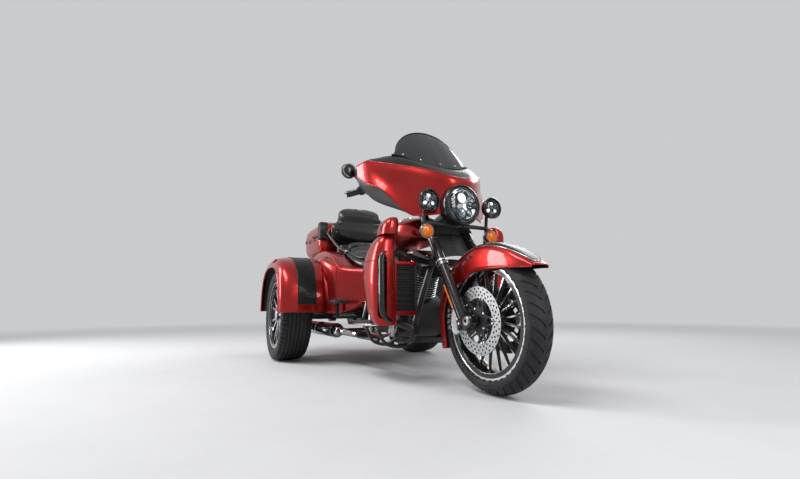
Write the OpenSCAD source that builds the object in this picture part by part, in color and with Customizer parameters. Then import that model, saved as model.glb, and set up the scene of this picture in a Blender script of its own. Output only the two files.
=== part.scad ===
// Three-wheeled touring motorcycle with a fork-mounted fairing and a rear trunk body.
// Frame: +X forward, +Y to the rider's left, +Z up, origin on the ground at the middle of the length.

/* [Overall] */
// Length from the front tyre to the rear bumper face
overall_len = 2670; // [2640:5:2720]
// Width over the rear fenders
overall_w = 1390; // [1380:5:1430]
// Distance between the front and rear axles
wheelbase = 1670; // [1650:5:1700]

/* [Front wheel] */
// Front tyre outer diameter
f_tyre_d = 639; // [620:1:645]
// Front tyre section width
f_tyre_w = 130; // [110:1:134]
// Front rim bead diameter
f_rim_d = 483; // [450:1:500]
// Number of spoke pairs in the front wheel
spoke_pairs = 10; // [7:1:12]
// Front brake disc diameter
disc_d = 300; // [260:1:310]
// Distance between the two front brake discs
disc_gap = 162; // [160:1:168]
// Front axle diameter
f_axle_d = 25; // [20:1:28]

/* [Rear wheels] */
// Rear tyre outer diameter
r_tyre_d = 651; // [630:1:660]
// Rear tyre section width
r_tyre_w = 215; // [195:1:220]
// Rear rim bead diameter
r_rim_d = 457; // [430:1:470]
// Distance between the rear tyre centres
track = 1100; // [1090:1:1120]
// Rear spindle diameter
spindle_d = 44; // [36:1:50]

/* [Steering and fork] */
// Angle of the steering head from the vertical
rake = 26; // [25:0.5:27]
// Trail on the ground
trail = 100; // [90:1:110]
// Angle of the fork legs from the vertical
fork_angle = 32; // [31:0.5:33]
// Distance between the fork leg centres
fork_spread = 232; // [228:1:240]
// Diameter of the fork sliders
slider_d = 54; // [50:1:56]
// Diameter of the fork tubes
fork_tube_d = 49; // [43:1:52]
// Diameter of the steering stem
stem_d = 28; // [24:1:34]
// Height of the lower fork clamp
clamp_z = 772; // [765:1:780]

/* [Fairing] */
// Half-width of the fairing at its wing tips
fairing_half_w = 415; // [400:1:430]
// Wall thickness of the fairing
fairing_t = 5; // [4:0.5:8]
// Headlamp bezel diameter
headlamp_d = 214; // [200:1:220]
// Height of the headlamp centre
headlamp_z = 898; // [890:1:905]
// Passing lamp diameter
pass_lamp_d = 116; // [100:1:120]
// Distance between the passing lamps
pass_lamp_gap = 394; // [385:1:410]
// Height of the windshield above its base
shield_h = 250; // [180:1:260]

/* [Engine and tank] */
// Height of the crankshaft
crank_z = 330; // [320:1:340]
// Distance from the front axle back to the crankshaft
crank_back = 700; // [690:1:715]
// Finned barrel outer diameter
fin_d = 164; // [150:1:172]
// Number of cooling fins on a barrel
fin_count = 9; // [6:1:11]
// Length of the fuel tank
tank_len = 490; // [470:1:500]
// Width of the fuel tank
tank_w = 350; // [320:1:380]
// Height of the top of the fuel tank
tank_top = 902; // [880:1:915]

/* [Rear body] */
// Height of the trunk deck
deck_z = 735; // [715:1:745]
// Height of the trunk floor
floor_z = 430; // [425:1:450]
// Height of the lower edge of the body sides
skirt_z = 340; // [320:1:350]
// Half-width of the trunk body
body_half_w = 400; // [390:1:410]
// Wall thickness of the trunk body
body_t = 14; // [8:1:20]
// Height of the top of the rear fenders
fender_top = 746; // [730:1:770]
// Sheet thickness of the fenders
fender_t = 5; // [3:0.5:8]

/* [Seat and luggage] */
// Rider seat height
seat_h = 735; // [725:1:750]
// Height of the top case floor
pack_z = 806; // [800:1:820]
// Height of the top case rim where the lid closes
pack_split = 948; // [930:1:960]
// Height of the top case lid
pack_top = 1076; // [1050:1:1100]
// Length of the top case
pack_len = 505; // [480:1:520]
// Half-width of the top case
pack_half_w = 305; // [280:1:315]
// Wall thickness of the top case
pack_t = 6; // [4:0.5:10]

/* [Hidden] */
$fn = 48;
fit = 0.3;          // gap left between neighbouring pieces
run = 0.05;         // radial running clearance of turning shafts
front_x = overall_len / 2 - f_tyre_d / 2;
rear_x = front_x - wheelbase;
rear_end = -overall_len / 2;
front_z = f_tyre_d / 2;
rear_z = r_tyre_d / 2;
leg_setback = 55;   // fork leg axis behind the front axle
leg_y = fork_spread / 2;
disc_t = 5;
deck_r = 40;        // corner radius of the trunk body
hinge_r = 6;        // barrel radius of the lid and door hinges
hinge_pin_r = 2.5;
pack_front = rear_x - 40;
pack_rear = pack_front - pack_len;

// Shape helpers

// Closed solid through rings of points; rings run round the sweep direction by the right-hand rule.
module loft(rings) {
    n = len(rings[0]);
    m = len(rings);
    polyhedron(
        points = [for (r = rings) each r],
        faces = concat(
            [[for (c = [0:n - 1]) c]],
            [for (r = [0:m - 2], c = [0:n - 1]) each [
                [r * n + c, (r + 1) * n + c, (r + 1) * n + (c + 1) % n],
                [r * n + c, (r + 1) * n + (c + 1) % n, r * n + (c + 1) % n]]],
            [[for (c = [n - 1:-1:0]) (m - 1) * n + c]]),
        convexity = 8);
}

function unit(v) = v / norm(v);
function grid_normal(g, r, c) = unit(cross(
    g[min(r + 1, len(g) - 1)][c] - g[max(r - 1, 0)][c],
    g[r][min(c + 1, len(g[0]) - 1)] - g[r][max(c - 1, 0)]));

// Sheet of even thickness t under a grid of points; its outer face is the grid.
module sheet(g, t) {
    m = len(g);
    n = len(g[0]);
    inner = [for (r = [0:m - 1], c = [0:n - 1]) g[r][c] - t * grid_normal(g, r, c)];
    k = m * n;
    edge = concat(
        [for (c = [0:n - 2]) [c, c + 1]],
        [for (r = [0:m - 2]) [r * n + n - 1, (r + 1) * n + n - 1]],
        [for (c = [n - 1:-1:1]) [(m - 1) * n + c, (m - 1) * n + c - 1]],
        [for (r = [m - 1:-1:1]) [r * n, (r - 1) * n]]);
    polyhedron(
        points = concat([for (row = g) each row], inner),
        faces = concat(
            [for (r = [0:m - 2], c = [0:n - 2]) each [
                [r * n + c, r * n + c + 1, (r + 1) * n + c + 1],
                [r * n + c, (r + 1) * n + c + 1, (r + 1) * n + c]]],
            [for (r = [0:m - 2], c = [0:n - 2]) each [
                [k + r * n + c, k + (r + 1) * n + c + 1, k + r * n + c + 1],
                [k + r * n + c, k + (r + 1) * n + c, k + (r + 1) * n + c + 1]]],
            [for (e = edge) each [[e[0], k + e[0], k + e[1]], [e[0], k + e[1], e[1]]]]),
        convexity = 8);
}

function sgn_pow(v, p) = sign(v) * pow(abs(v), p);

// Superellipse ring across X at x, between z0 and z1, of half-width w and roundness e (2 is an ellipse).
function ring_x(x, w, z0, z1, e, n) = [for (i = [0:n - 1]) let (a = 360 * (i + 0.5) / n)
    [x, w * sgn_pow(cos(a), 2 / e), (z0 + z1) / 2 + (z1 - z0) / 2 * sgn_pow(sin(a), 2 / e)]];

// Rounded rectangle ring across X at x.
function box_ring_x(x, w, z0, z1, r, seg) = [for (q = [0:3], i = [0:seg])
    let (a = q * 90 + 90 * i / seg, sy = (q == 0 || q == 3) ? 1 : -1, sz = q < 2 ? 1 : -1)
    [x, sy * (w - r) + r * cos(a), (sz > 0 ? z1 - r : z0 + r) + r * sin(a)]];

// Rounded rectangle ring across Z at z, from x0 to x1 and half-width w.
function box_ring_z(z, x0, x1, w, r, seg) = [for (q = [0:3], i = [0:seg])
    let (a = q * 90 + 90 * i / seg, sx = (q == 0 || q == 3) ? 1 : -1, sy = q < 2 ? 1 : -1)
    [(sx > 0 ? x1 - r : x0 + r) + r * cos(a), sy * (w - r) + r * sin(a), z]];

// Linear interpolation of column k over column 0 in a table sorted by rising column 0.
function look(t, v, k) = lookup(v, [for (row = t) [row[0], row[k]]]);

// Straight round bar between two points.
module bar(a, b, d) {
    v = b - a;
    translate(a) rotate([0, acos(v[2] / norm(v)), atan2(v[1], v[0])]) cylinder(d = d, h = norm(v));
}

// Points of a path whose corners are rounded over a reach of r, in k steps.
function bent(path, r, k) = let (n = len(path)) concat([path[0]], [for (i = [1:n - 2])
    let (u = unit(path[i] - path[i - 1]), v = unit(path[i + 1] - path[i]),
        t = min(r, 0.45 * norm(path[i] - path[i - 1]), 0.45 * norm(path[i + 1] - path[i])))
    each [for (q = [0:k]) path[i] + t * (v * pow(q / k, 2) - u * pow(1 - q / k, 2))]], [path[n - 1]]);
function heading(p, i) = unit((i < len(p) - 1 ? unit(p[i + 1] - p[i]) : [0, 0, 0])
    + (i > 0 ? unit(p[i] - p[i - 1]) : [0, 0, 0]));

// Bent round tube through a list of points.
module tube(path, d, r = 60, k = 4, sides = 14) {
    p = bent(path, r, k);
    t0 = heading(p, 0);
    n0 = unit(cross(t0, abs(t0[2]) < 0.8 ? [0, 0, 1] : [0, 1, 0]));
    across_path = [for (i = 0, n = n0; i < len(p); i = i + 1,
        n = i < len(p) ? unit(n - heading(p, i) * (n * heading(p, i))) : n) n];
    loft([for (i = [0:len(p) - 1]) let (n = across_path[i], b = cross(heading(p, i), n))
        [for (q = [0:sides - 1]) p[i] + d / 2 * (cos(360 * q / sides) * n + sin(360 * q / sides) * b)]]);
}

module both_sides() {
    children();
    mirror([0, 1, 0]) children();
}

module across(y0, y1) { translate([0, y1, 0]) rotate([90, 0, 0]) linear_extrude(y1 - y0) children(); }

// Frames of the steered parts

module at_front_axle() { translate([front_x, 0, front_z]) children(); }
module at_rear_axle() { translate([rear_x, 0, rear_z]) children(); }
// Local Z runs up the steering axis from the ground.
module on_steering_axis() { translate([front_x + trail, 0, 0]) rotate([0, -rake, 0]) children(); }
// Local Z runs up between the fork legs from axle height.
module on_fork() { translate([front_x - leg_setback, 0, front_z]) rotate([0, -fork_angle, 0]) children(); }
axle_on_fork = [leg_setback * cos(fork_angle), 0, -leg_setback * sin(fork_angle)];
clamp_s = (clamp_z - front_z) / cos(fork_angle);    // lower clamp along the fork
clamp_gap = 225;                                    // lower to upper clamp
clamp_h = 34;
clamp_front = 46;                                   // lower clamp ahead of the fork legs
slider_len = 330;

// Front wheel

// Half-section of a tyre: tread radius r, width w, bead radius b and bead half-width k.
module tyre_section(r, w, b, k, crown) {
    sw = w / 2;
    polygon(concat(
        [[b, -k], [b + 12 + fit, -k]],
        [for (a = [-70:14:70]) [r - crown * (1 - cos(a)) - (abs(a) > 60 ? 8 : 0),
            sw * sin(a) / sin(70) * 0.985]],
        [[b + 12 + fit, k], [b, k]],
        [[b + 7, k - 10], [b + 7, -k + 10]]));
}

// Rim barrel with two bead flanges: bead radius b, half-width k, lip height lip.
module rim_section(b, k, lip) {
    polygon([[b - 14, -k - 8], [b + lip, -k - 8], [b + lip, -k - 2], [b - fit, -k - 1],
        [b - fit, -k + 16], [b - 16, -k + 26], [b - 16, k - 26], [b - fit, k - 16], [b - fit, k + 1],
        [b + lip, k + 2], [b + lip, k + 8], [b - 14, k + 8], [b - 14, k - 4], [b - 24, k - 22],
        [b - 24, -k + 22], [b - 14, -k + 4]]);
}

module about_y() { rotate([90, 0, 0]) rotate_extrude($fn = 96) children(); }

f_bead = f_rim_d / 2;
f_rim_k = f_tyre_w * 0.32;
module front_tyre() {
    color([0.05, 0.05, 0.055]) at_front_axle() about_y()
        tyre_section(f_tyre_d / 2, f_tyre_w, f_bead, f_rim_k, 42);
}

hub_r = 38;
axle_end = 36;          // axle beyond the fork leg centres
f_axle_bore = 16;       // bore through the hollow axle
module spoke_star(n, r0, r1, w0, w1, spread) {
    for (i = [0:n - 1], s = [-1, 1]) rotate(i * 360 / n)
        polygon([[r0 * cos(s * spread * 0.5), r0 * sin(s * spread * 0.5) - w0 / 2],
            [r1 * cos(s * spread), r1 * sin(s * spread) - w1 / 2],
            [r1 * cos(s * spread), r1 * sin(s * spread) + w1 / 2],
            [r0 * cos(s * spread * 0.5), r0 * sin(s * spread * 0.5) + w0 / 2]]);
}

module front_rim() {
    color([0.06, 0.06, 0.065]) at_front_axle() difference() {
        union() {
            about_y() rim_section(f_bead, f_rim_k, 12);
            across(-12, 12) spoke_star(spoke_pairs, hub_r - 4, f_bead - 18, 11, 7, 360 / spoke_pairs / 4.2);
            rotate([90, 0, 0]) cylinder(r = hub_r, h = disc_gap - disc_t - 2 * fit, center = true);
        }
        rotate([90, 0, 0]) cylinder(d = f_axle_d + 2 * run, h = 400, center = true);
    }
}

module disc_outline(d, inner) {
    difference() {
        circle(d = d, $fn = 96);
        circle(d = inner, $fn = 96);
    }
}

// Two floating rotors with their black carriers.
module front_discs() {
    carrier_d = disc_d * 0.66;
    color([0.75, 0.76, 0.78]) at_front_axle() both_sides()
        across(disc_gap / 2 - disc_t / 2, disc_gap / 2 + disc_t / 2) difference() {
            union() {
                disc_outline(disc_d, carrier_d);
                for (i = [0:4]) rotate(i * 72) translate([carrier_d / 4, 0])
                    square([carrier_d / 2 + 6, 20], center = true);
                circle(r = hub_r + 6);
            }
            circle(d = f_axle_d + 6);
            for (i = [0:29]) rotate(i * 12) translate([disc_d / 2 - 14 - (i % 3) * 13, 0])
                circle(d = 7, $fn = 16);
        }
}

module front_axle() {
    color([0.5, 0.5, 0.52]) at_front_axle() difference() {
        union() {
            rotate([90, 0, 0]) cylinder(d = f_axle_d, h = fork_spread + 2 * axle_end, center = true);
            both_sides() translate([0, leg_y + axle_end - 12, 0]) rotate([-90, 0, 0])
                cylinder(d = f_axle_d + 14, h = 12);
        }
        rotate([90, 0, 0]) cylinder(d = f_axle_bore, h = 2 * fork_spread, center = true);
    }
}

// Fork and steering

module fork_sliders() {
    boss_len = 44;
    color([0.03, 0.03, 0.035]) on_fork() both_sides() difference() {
        union() {
            translate([0, leg_y, 4]) cylinder(d = slider_d, h = slider_len - 4);
            translate([0, leg_y, slider_len - 26]) cylinder(d = slider_d + 6, h = 26);
            translate([0, leg_y, -30]) cylinder(d1 = slider_d * 0.6, d2 = slider_d, h = 34);
            translate(axle_on_fork + [0, leg_y, 0]) rotate([90, 0, 0])
                cylinder(r = 27, h = boss_len, center = true);
            translate([0, leg_y - boss_len / 2, axle_on_fork[2] - 20]) cube([axle_on_fork[0], boss_len, 60]);
        }
        translate(axle_on_fork + [0, leg_y, 0]) rotate([90, 0, 0])
            cylinder(d = f_axle_d + 2 * fit, h = 200, center = true);
        translate([0, leg_y, 60]) cylinder(d = fork_tube_d + 2 * fit, h = slider_len);
    }
}

module fork_tubes() {
    tube_top = clamp_s + clamp_gap + clamp_h + 4;
    cover_from = slider_len + fit;
    color([0.05, 0.05, 0.055]) on_fork() both_sides() union() {
        translate([0, leg_y, 60 + fit]) cylinder(d = fork_tube_d, h = tube_top - 60);
        translate([0, leg_y, cover_from]) cylinder(d = slider_d, h = clamp_s - cover_from - fit);
    }
}

// Lower and upper fork clamps with the steering stem between them.
module fork_clamps() {
    stem_low = (clamp_z + 28) / cos(rake);
    stem_high = (clamp_z + clamp_gap * cos(fork_angle) + 62) / cos(rake);
    color([0.06, 0.06, 0.065]) difference() {
        union() {
            for (s = [0, clamp_gap]) on_fork() translate([0, 0, clamp_s + s]) union() {
                both_sides() translate([0, leg_y, 0]) cylinder(d = fork_tube_d + 20, h = clamp_h);
                translate([-24, -leg_y, 0]) cube([24 + (s == 0 ? clamp_front : clamp_front + 46),
                    fork_spread, clamp_h]);
            }
            on_steering_axis() translate([0, 0, stem_low]) cylinder(d = stem_d, h = stem_high - stem_low);
        }
        on_fork() both_sides() translate([0, leg_y, clamp_s - 10])
            cylinder(d = fork_tube_d + 2 * fit, h = clamp_gap + 80);
    }
}

// Calipers straddle the rear edge of each disc on the back of the sliders.
module front_calipers() {
    slot = disc_t + 10;
    color([0.6, 0.6, 0.62]) difference() {
        at_front_axle() both_sides() difference() {
            translate([-disc_d / 2 - 34, disc_gap / 2 - 26, -48]) cube([64, 50, 110]);
            translate([-disc_d / 2 - 14, disc_gap / 2 - slot / 2, -60]) cube([60, slot, 140]);
        }
        on_fork() both_sides() translate([0, leg_y, -60]) cylinder(d = slider_d + 2 * fit, h = slider_len);
    }
}

// Front fender: each row is a station from the rear edge to the front tip, measured from the front axle.
// Columns: crown x, crown z, lower edge x, lower edge z, half-width.
fender_half_w = min(fork_spread / 2 - slider_d / 2 - 8, f_tyre_w / 2 + 12);
fender_rows = [
    [-330, -150, -258, -134, 1], [-352, -60, -272, -56, 1], [-356, 30, -276, 24, 1],
    [-332, 128, -252, 98, 1], [-272, 222, -196, 152, 1], [-176, 298, -118, 168, 1],
    [-60, 342, -52, 208, 1], [60, 346, 40, 218, 1], [168, 314, 140, 218, 0.96],
    [256, 264, 228, 216, 0.84], [306, 226, 296, 214, 0.6]];
module front_fender() {
    n = 12;
    grid = [for (row = fender_rows) [for (i = [0:n]) let (a = 180 * i / n, u = pow(sin(a), 0.55))
        [row[2] + (row[0] - row[2]) * u, -fender_half_w * row[4] * sgn_pow(cos(a), 0.55),
            row[3] + (row[1] - row[3]) * u]]];
    lug = leg_y - slider_d / 2 - fit - fender_half_w;
    color([0.62, 0.04, 0.03]) union() {
        at_front_axle() sheet(grid, 3);
        on_fork() both_sides() translate([-12, fender_half_w - 2, 222]) cube([24, lug + 2, 34]);
    }
}

// Fairing: stations across the width.
// Columns: share of the half-width, top x, top z, middle x, middle z, bottom x, bottom z (from the front
// axle).
fairing_rows = [
    [0.00, -214, 1046, -226, 960, -262, 862], [0.14, -222, 1052, -228, 962, -256, 856],
    [0.27, -250, 1072, -244, 970, -252, 850], [0.41, -290, 1094, -270, 976, -296, 848],
    [0.55, -338, 1113, -318, 990, -342, 852], [0.70, -408, 1138, -392, 1032, -394, 926],
    [0.84, -498, 1168, -470, 1092, -456, 1012], [0.94, -566, 1186, -534, 1120, -528, 1050],
    [1.00, -640, 1178, -628, 1148, -618, 1112]];
function fairing_point(f, u) = let (
    t = [look(fairing_rows, f, 1), look(fairing_rows, f, 2)],
    m = [look(fairing_rows, f, 3), look(fairing_rows, f, 4)],
    b = [look(fairing_rows, f, 5), look(fairing_rows, f, 6)],
    q = t * (1 - u) * (1 - 2 * u) + m * 4 * u * (1 - u) + b * u * (2 * u - 1)) [q[0], q[1]];
fairing_n = 12;     // stations on each side of the middle
fairing_grid = [for (i = [-fairing_n:fairing_n]) let (f = abs(i) / fairing_n)
    [for (j = [6:-1:0]) let (q = fairing_point(f, j / 6)) [front_x + q[0],
        fairing_half_w * i / fairing_n, q[1]]]];

module headlamp_hole(extra) {
    translate([front_x - 400, 0, headlamp_z]) rotate([0, 90, 0]) cylinder(d = headlamp_d + extra, h = 400);
}

module fairing_outer() {
    color([0.62, 0.04, 0.03]) difference() {
        sheet(fairing_grid, fairing_t);
        headlamp_hole(2 * fit);
    }
}

// Inner fairing: dash wall that faces the rider below the windshield.
// Columns: share of the half-width, top x, top z, bottom x, bottom z (from the front axle).
dash_rows = [
    [0.00, -396, 1150, -560, 1040], [0.30, -418, 1168, -570, 1036], [0.62, -500, 1222, -592, 1010],
    [0.80, -566, 1216, -620, 1000], [0.93, -612, 1206, -652, 1050], [1.00, -652, 1184, -664, 1112]];
dash_t = 5;
dash_half_w = fairing_half_w - 10;
function dash_top(i) = let (f = abs(i) / fairing_n)
    [front_x + look(dash_rows, f, 1), dash_half_w * i / fairing_n, look(dash_rows, f, 2)];
module fairing_inner() {
    grid = [for (i = [-fairing_n:fairing_n]) let (f = abs(i) / fairing_n) [for (j = [0:5]) let (u = j / 5)
        [front_x + look(dash_rows, f, 1) * (1 - u) + look(dash_rows, f, 3) * u - 30 * sin(180 * u),
            dash_half_w * i / fairing_n, look(dash_rows, f, 2) * (1 - u) + look(dash_rows, f, 4) * u]]];
    color([0.09, 0.09, 0.1]) difference() {
        sheet(grid, dash_t);
        handlebar_tubes(handlebar_d + 2 * fit);
    }
}

// Black cap that closes the fairing between the painted shell and the foot of the windshield.
cap_t = 4;
module fairing_cap() {
    grid = [for (i = [1 - fairing_n:fairing_n - 1]) let (k = i + fairing_n,
        a = fairing_grid[k][6] - (fairing_t + fit) * grid_normal(fairing_grid, k, 6),
            b = dash_top(i) + [dash_t + 4.4, 0, 0])
        [for (j = [0:4]) let (u = j / 4) a * (1 - u) + b * u + [0, 0,
            16 * sin(180 * u) * (1 - pow(abs(i) / fairing_n, 2))]]];
    color([0.04, 0.04, 0.045]) sheet(grid, cap_t);
}

// Windshield: a bowed sheet that leans back from the top of the dash.
shield_n = 8;           // stations on each side of the middle
foot_gap = 2.6;
module windshield() {
    rows = 5;
    color([0.05, 0.06, 0.07]) sheet([for (i = [-shield_n:shield_n])
        let (f = i / shield_n, foot = dash_top(i) + [0, 0, foot_gap])
        [for (j = [0:rows]) let (u = j / rows,
            top = shield_h * pow(1 - pow(abs(f), 2.6), 0.55) + 4 - 76 * f * f * 0.6)
            foot + [-u * max(top, 4) * 0.44, -foot[1] * 0.16 * u, u * max(top, 4)]]], 4);
}

// Headlamp: black bezel bowl with a domed lens.
module headlamp() {
    face_x = front_x - 196;
    color([0.1, 0.1, 0.11]) translate([face_x, 0, headlamp_z]) rotate([0, 90, 0]) rotate_extrude($fn = 72)
        polygon(concat(
            [[0, -74], [headlamp_d * 0.24, -74], [headlamp_d * 0.4, -48], [headlamp_d / 2, -28],
                [headlamp_d / 2, -4],
                [headlamp_d / 2 - 5, 3], [headlamp_d / 2 - 15, 0]],
            [for (a = [75:-15:0]) [(headlamp_d / 2 - 16) * sin(a), -14 + 20 * cos(a)]]));
}

// Passing lamps: bullet housings with domed lenses.
module lamp_shell(d, depth) {
    rotate([0, 90, 0]) rotate_extrude($fn = 56) polygon(concat(
        [[0, -depth], [d * 0.2, -depth + 3], [d * 0.38, -depth * 0.66], [d * 0.48, -depth * 0.3], [d / 2, -6],
            [d / 2, 0], [d / 2 - 5, 2]],
        [for (a = [75:-15:0]) [(d / 2 - 6) * sin(a), -6 + 12 * cos(a)]]));
}
module passing_lamps() {
    color([0.12, 0.12, 0.13]) both_sides() translate([front_x - 198, pass_lamp_gap / 2, headlamp_z + 4])
        lamp_shell(pass_lamp_d, 64);
}

signal_d = 74;
signal_gap = pass_lamp_gap + 8;
signal_z = headlamp_z - 148;
module turn_signals() {
    color([0.9, 0.5, 0.05]) both_sides() translate([front_x - 224, signal_gap / 2, signal_z])
        lamp_shell(signal_d, 62);
}

// Bar that carries the lamps, bolted to the front of the lower fork clamp.
lamp_bar_x = front_x - 262;
lamp_bar_z = clamp_z + 28;
module lamp_bar() {
    bar_d = 22;
    lamp_y = pass_lamp_gap / 2;
    stalk_d = 18;
    color([0.05, 0.05, 0.055]) difference() {
        union() {
            bar([lamp_bar_x, -lamp_y, lamp_bar_z], [lamp_bar_x, lamp_y, lamp_bar_z], bar_d);
            both_sides() {
                translate([lamp_bar_x, lamp_y, lamp_bar_z]) sphere(d = bar_d + 4);
                bar([lamp_bar_x, lamp_y, lamp_bar_z], [front_x - 250, lamp_y, headlamp_z - 10], stalk_d);
                bar([lamp_bar_x, lamp_y, lamp_bar_z], [front_x - 270, signal_gap / 2, signal_z + 12],
                    stalk_d);
                on_fork() translate([clamp_front + fit, 22, clamp_s - 10]) cube([36, 30, 32]);
            }
        }
        both_sides() translate([front_x - 198, lamp_y, headlamp_z + 4])
            lamp_shell(pass_lamp_d + 3 * fit, 64 + 2 * fit);
        both_sides() translate([front_x - 224, signal_gap / 2, signal_z])
            lamp_shell(signal_d + 3 * fit, 62 + 2 * fit);
    }
}

// Handlebar: from the risers outwards under the dash and back to the grips.
handlebar_d = 25.4;
grip_y = fairing_half_w + 5;
bar_path = [[-440, 0, 1030], [-446, 130, 1030], [-560, 240, 1072], [-640, 300, 1070], [-744, grip_y, 1040]];
function in_front(p) = [for (q = p) [q[0] + front_x, q[1], q[2]]];
module handlebar_tubes(d) { both_sides() tube(in_front(bar_path), d); }
module handlebar() {
    color([0.04, 0.04, 0.045]) union() {
        handlebar_tubes(handlebar_d);
        both_sides() bar(in_front(bar_path)[3] * 0.8 + in_front(bar_path)[4] * 0.2,
            in_front(bar_path)[4] * 1.06 - in_front(bar_path)[3] * 0.06, handlebar_d + 10);
        both_sides() on_fork() translate([36, 26, clamp_s + clamp_gap + clamp_h + fit]) cube([28, 26, 16]);
    }
}

// Frame with its z axis along the right grip and its y axis pointing back from it.
module along_grip() {
    from = in_front(bar_path)[3];
    v = in_front(bar_path)[4] - from;
    translate(from) rotate([0, acos(v[2] / norm(v)), atan2(v[1], v[0])]) children();
}
// Switch boxes and levers beside each grip.
module hand_controls() {
    color([0.05, 0.05, 0.055]) both_sides() along_grip() difference() {
        union() {
            translate([-20, -22, 66]) cube([40, 44, 32]);
            translate([-7, -34, 84]) cube([14, 14, 14]);
            translate([-5, -34, 84]) cube([10, 7, 84]);
        }
        translate([0, 0, -60]) cylinder(d = handlebar_d + 10 + 2 * fit, h = 300);
    }
}

// Round mirrors on stems that stand on the switch boxes.
module mirrors() {
    stem_d = 12;
    head = [front_x - 700, fairing_half_w + 22, 1168];
    color([0.05, 0.05, 0.055]) both_sides() union() {
        translate(head) rotate([0, 90, 0]) rotate_extrude($fn = 40)
            polygon([[0, -16], [26, -12], [40, -2], [42, 8], [0, 8]]);
        along_grip() translate([-20 - fit, 0, 82]) rotate([0, -90, 0]) cylinder(d = stem_d, h = 44);
        bar([front_x - 699.6, 368.8, 1110], head + [-4, -20, -16], stem_d);
    }
}

// Chassis

neck_low = (clamp_z + clamp_h + 32) / cos(rake);
neck_high = (clamp_z + clamp_gap * cos(fork_angle) - 16) / cos(rake);
function axis_x(z) = front_x + trail - z * tan(rake);
crank_x = front_x - crank_back;
rail_y = 150;
rail_z = 196;
rail_d = 34;
spine_d = 50;
body_nose = rear_x + 670;       // front face of the trunk body
spine_path = [[axis_x(884) - 18, 0, 874], [crank_x - 150, 0, 742], [body_nose + 59.5, 0, 681],
    [body_nose + 24.5, 0, 616], [body_nose - 20, 0, 540]];
down_box = [50, 44];            // depth and width of the box under the spine
down_box_x = front_x - 468;
beam_y = 150;                   // box beams under the trunk floor
beam_s = 30;
floor_under = floor_z - body_t;
pivot_x = rear_x + 540;
down_low_x = front_x - 446;

// Down tube and lower rail on the left side.
module down_tube(d) {
    tube([[down_box_x + 25, 18, 668], [down_box_x + 28, 80, 520], [down_low_x, rail_y, rail_z + 110],
        [down_low_x - 30, rail_y, rail_z], [pivot_x + 60, rail_y, rail_z], [pivot_x, beam_y, 326]], d,
            60, 2, 12);
}

module frame() {
    color([0.04, 0.04, 0.045]) difference() {
        union() {
            on_steering_axis() translate([0, 0, neck_low])
                cylinder(d = stem_d + 36, h = neck_high - neck_low);
            tube(spine_path, spine_d, 80, 3);
            translate([down_box_x, -down_box[1] / 2, 640]) cube([down_box[0], down_box[1], 210]);
            both_sides() {
                down_tube(rail_d);
                translate([front_x - 456, 34, 596]) cube([80, guard_lug_y[0] - 34, 40]);
                translate([front_x - 466, rail_y - 10, 240]) cube([44, guard_lug_y[1] - rail_y + 10, 48]);
                translate([pivot_x - 30, beam_y - 20, 300]) cube([60, 40, floor_under - 300]);
                translate([rear_x - 560, beam_y - beam_s / 2, floor_under - beam_s])
                    cube([pivot_x - rear_x + 590, beam_s, beam_s]);
            }
            translate([pivot_x - 20, -beam_y, 302]) cube([40, 2 * beam_y, 28]);
            translate([down_low_x - 110, -rail_y, rail_z - 12]) cube([24, 2 * rail_y, 24]);
            both_sides() translate([crank_x - 20, 0, rail_z - 12]) cube([40, rail_y, 24]);
        }
        on_steering_axis() translate([0, 0, neck_low - 40])
            cylinder(d = stem_d + 2 * run, h = neck_high - neck_low + 80);
        translate([pivot_x, 0, 350]) rotate([90, 0, 0]) cylinder(d = 24 + 2 * fit, h = 600, center = true);
        translate([body_nose + fit - 200, -60, 480]) cube([200, 120, 300]);
    }
}

// Engine and gearbox in one block with the primary cover on the left and the cam cover on the right.
gear_x = crank_x - 300;
case_half = 112;
gear_half = 62;         // left wall of the gearbox, beside the belt
case_low = rail_z + 12 + fit;
module engine_cases() {
    color([0.06, 0.06, 0.065]) union() {
        across(-case_half, case_half) difference() {
            translate([crank_x, crank_z]) circle(r = 130);
            translate([crank_x - 200, 0]) square([400, case_low]);
        }
        across(-case_half, gear_half) difference() {
            union() {
                translate([gear_x, crank_z + 10]) circle(r = 98);
                polygon([[crank_x, case_low], [crank_x, crank_z + 78], [gear_x, crank_z + 78],
                    [gear_x, case_low + 20]]);
            }
            translate([gear_x - 200, 0]) square([700, case_low]);
        }
        across(case_half, case_half + 78) union() {
            translate([crank_x + 6, crank_z]) circle(r = 92);
            translate([gear_x + 30, crank_z + 6]) circle(r = 100);
            polygon([[crank_x + 6, crank_z - 90], [crank_x + 6, crank_z + 90], [gear_x + 30, crank_z + 104],
                [gear_x + 30, crank_z - 92]]);
        }
        across(-case_half - 44, -case_half) union() {
            translate([crank_x, crank_z + 4]) circle(r = 88);
            translate([crank_x + 62, crank_z + 44]) circle(r = 46);
            translate([crank_x - 62, crank_z + 44]) circle(r = 46);
        }
    }
}

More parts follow.
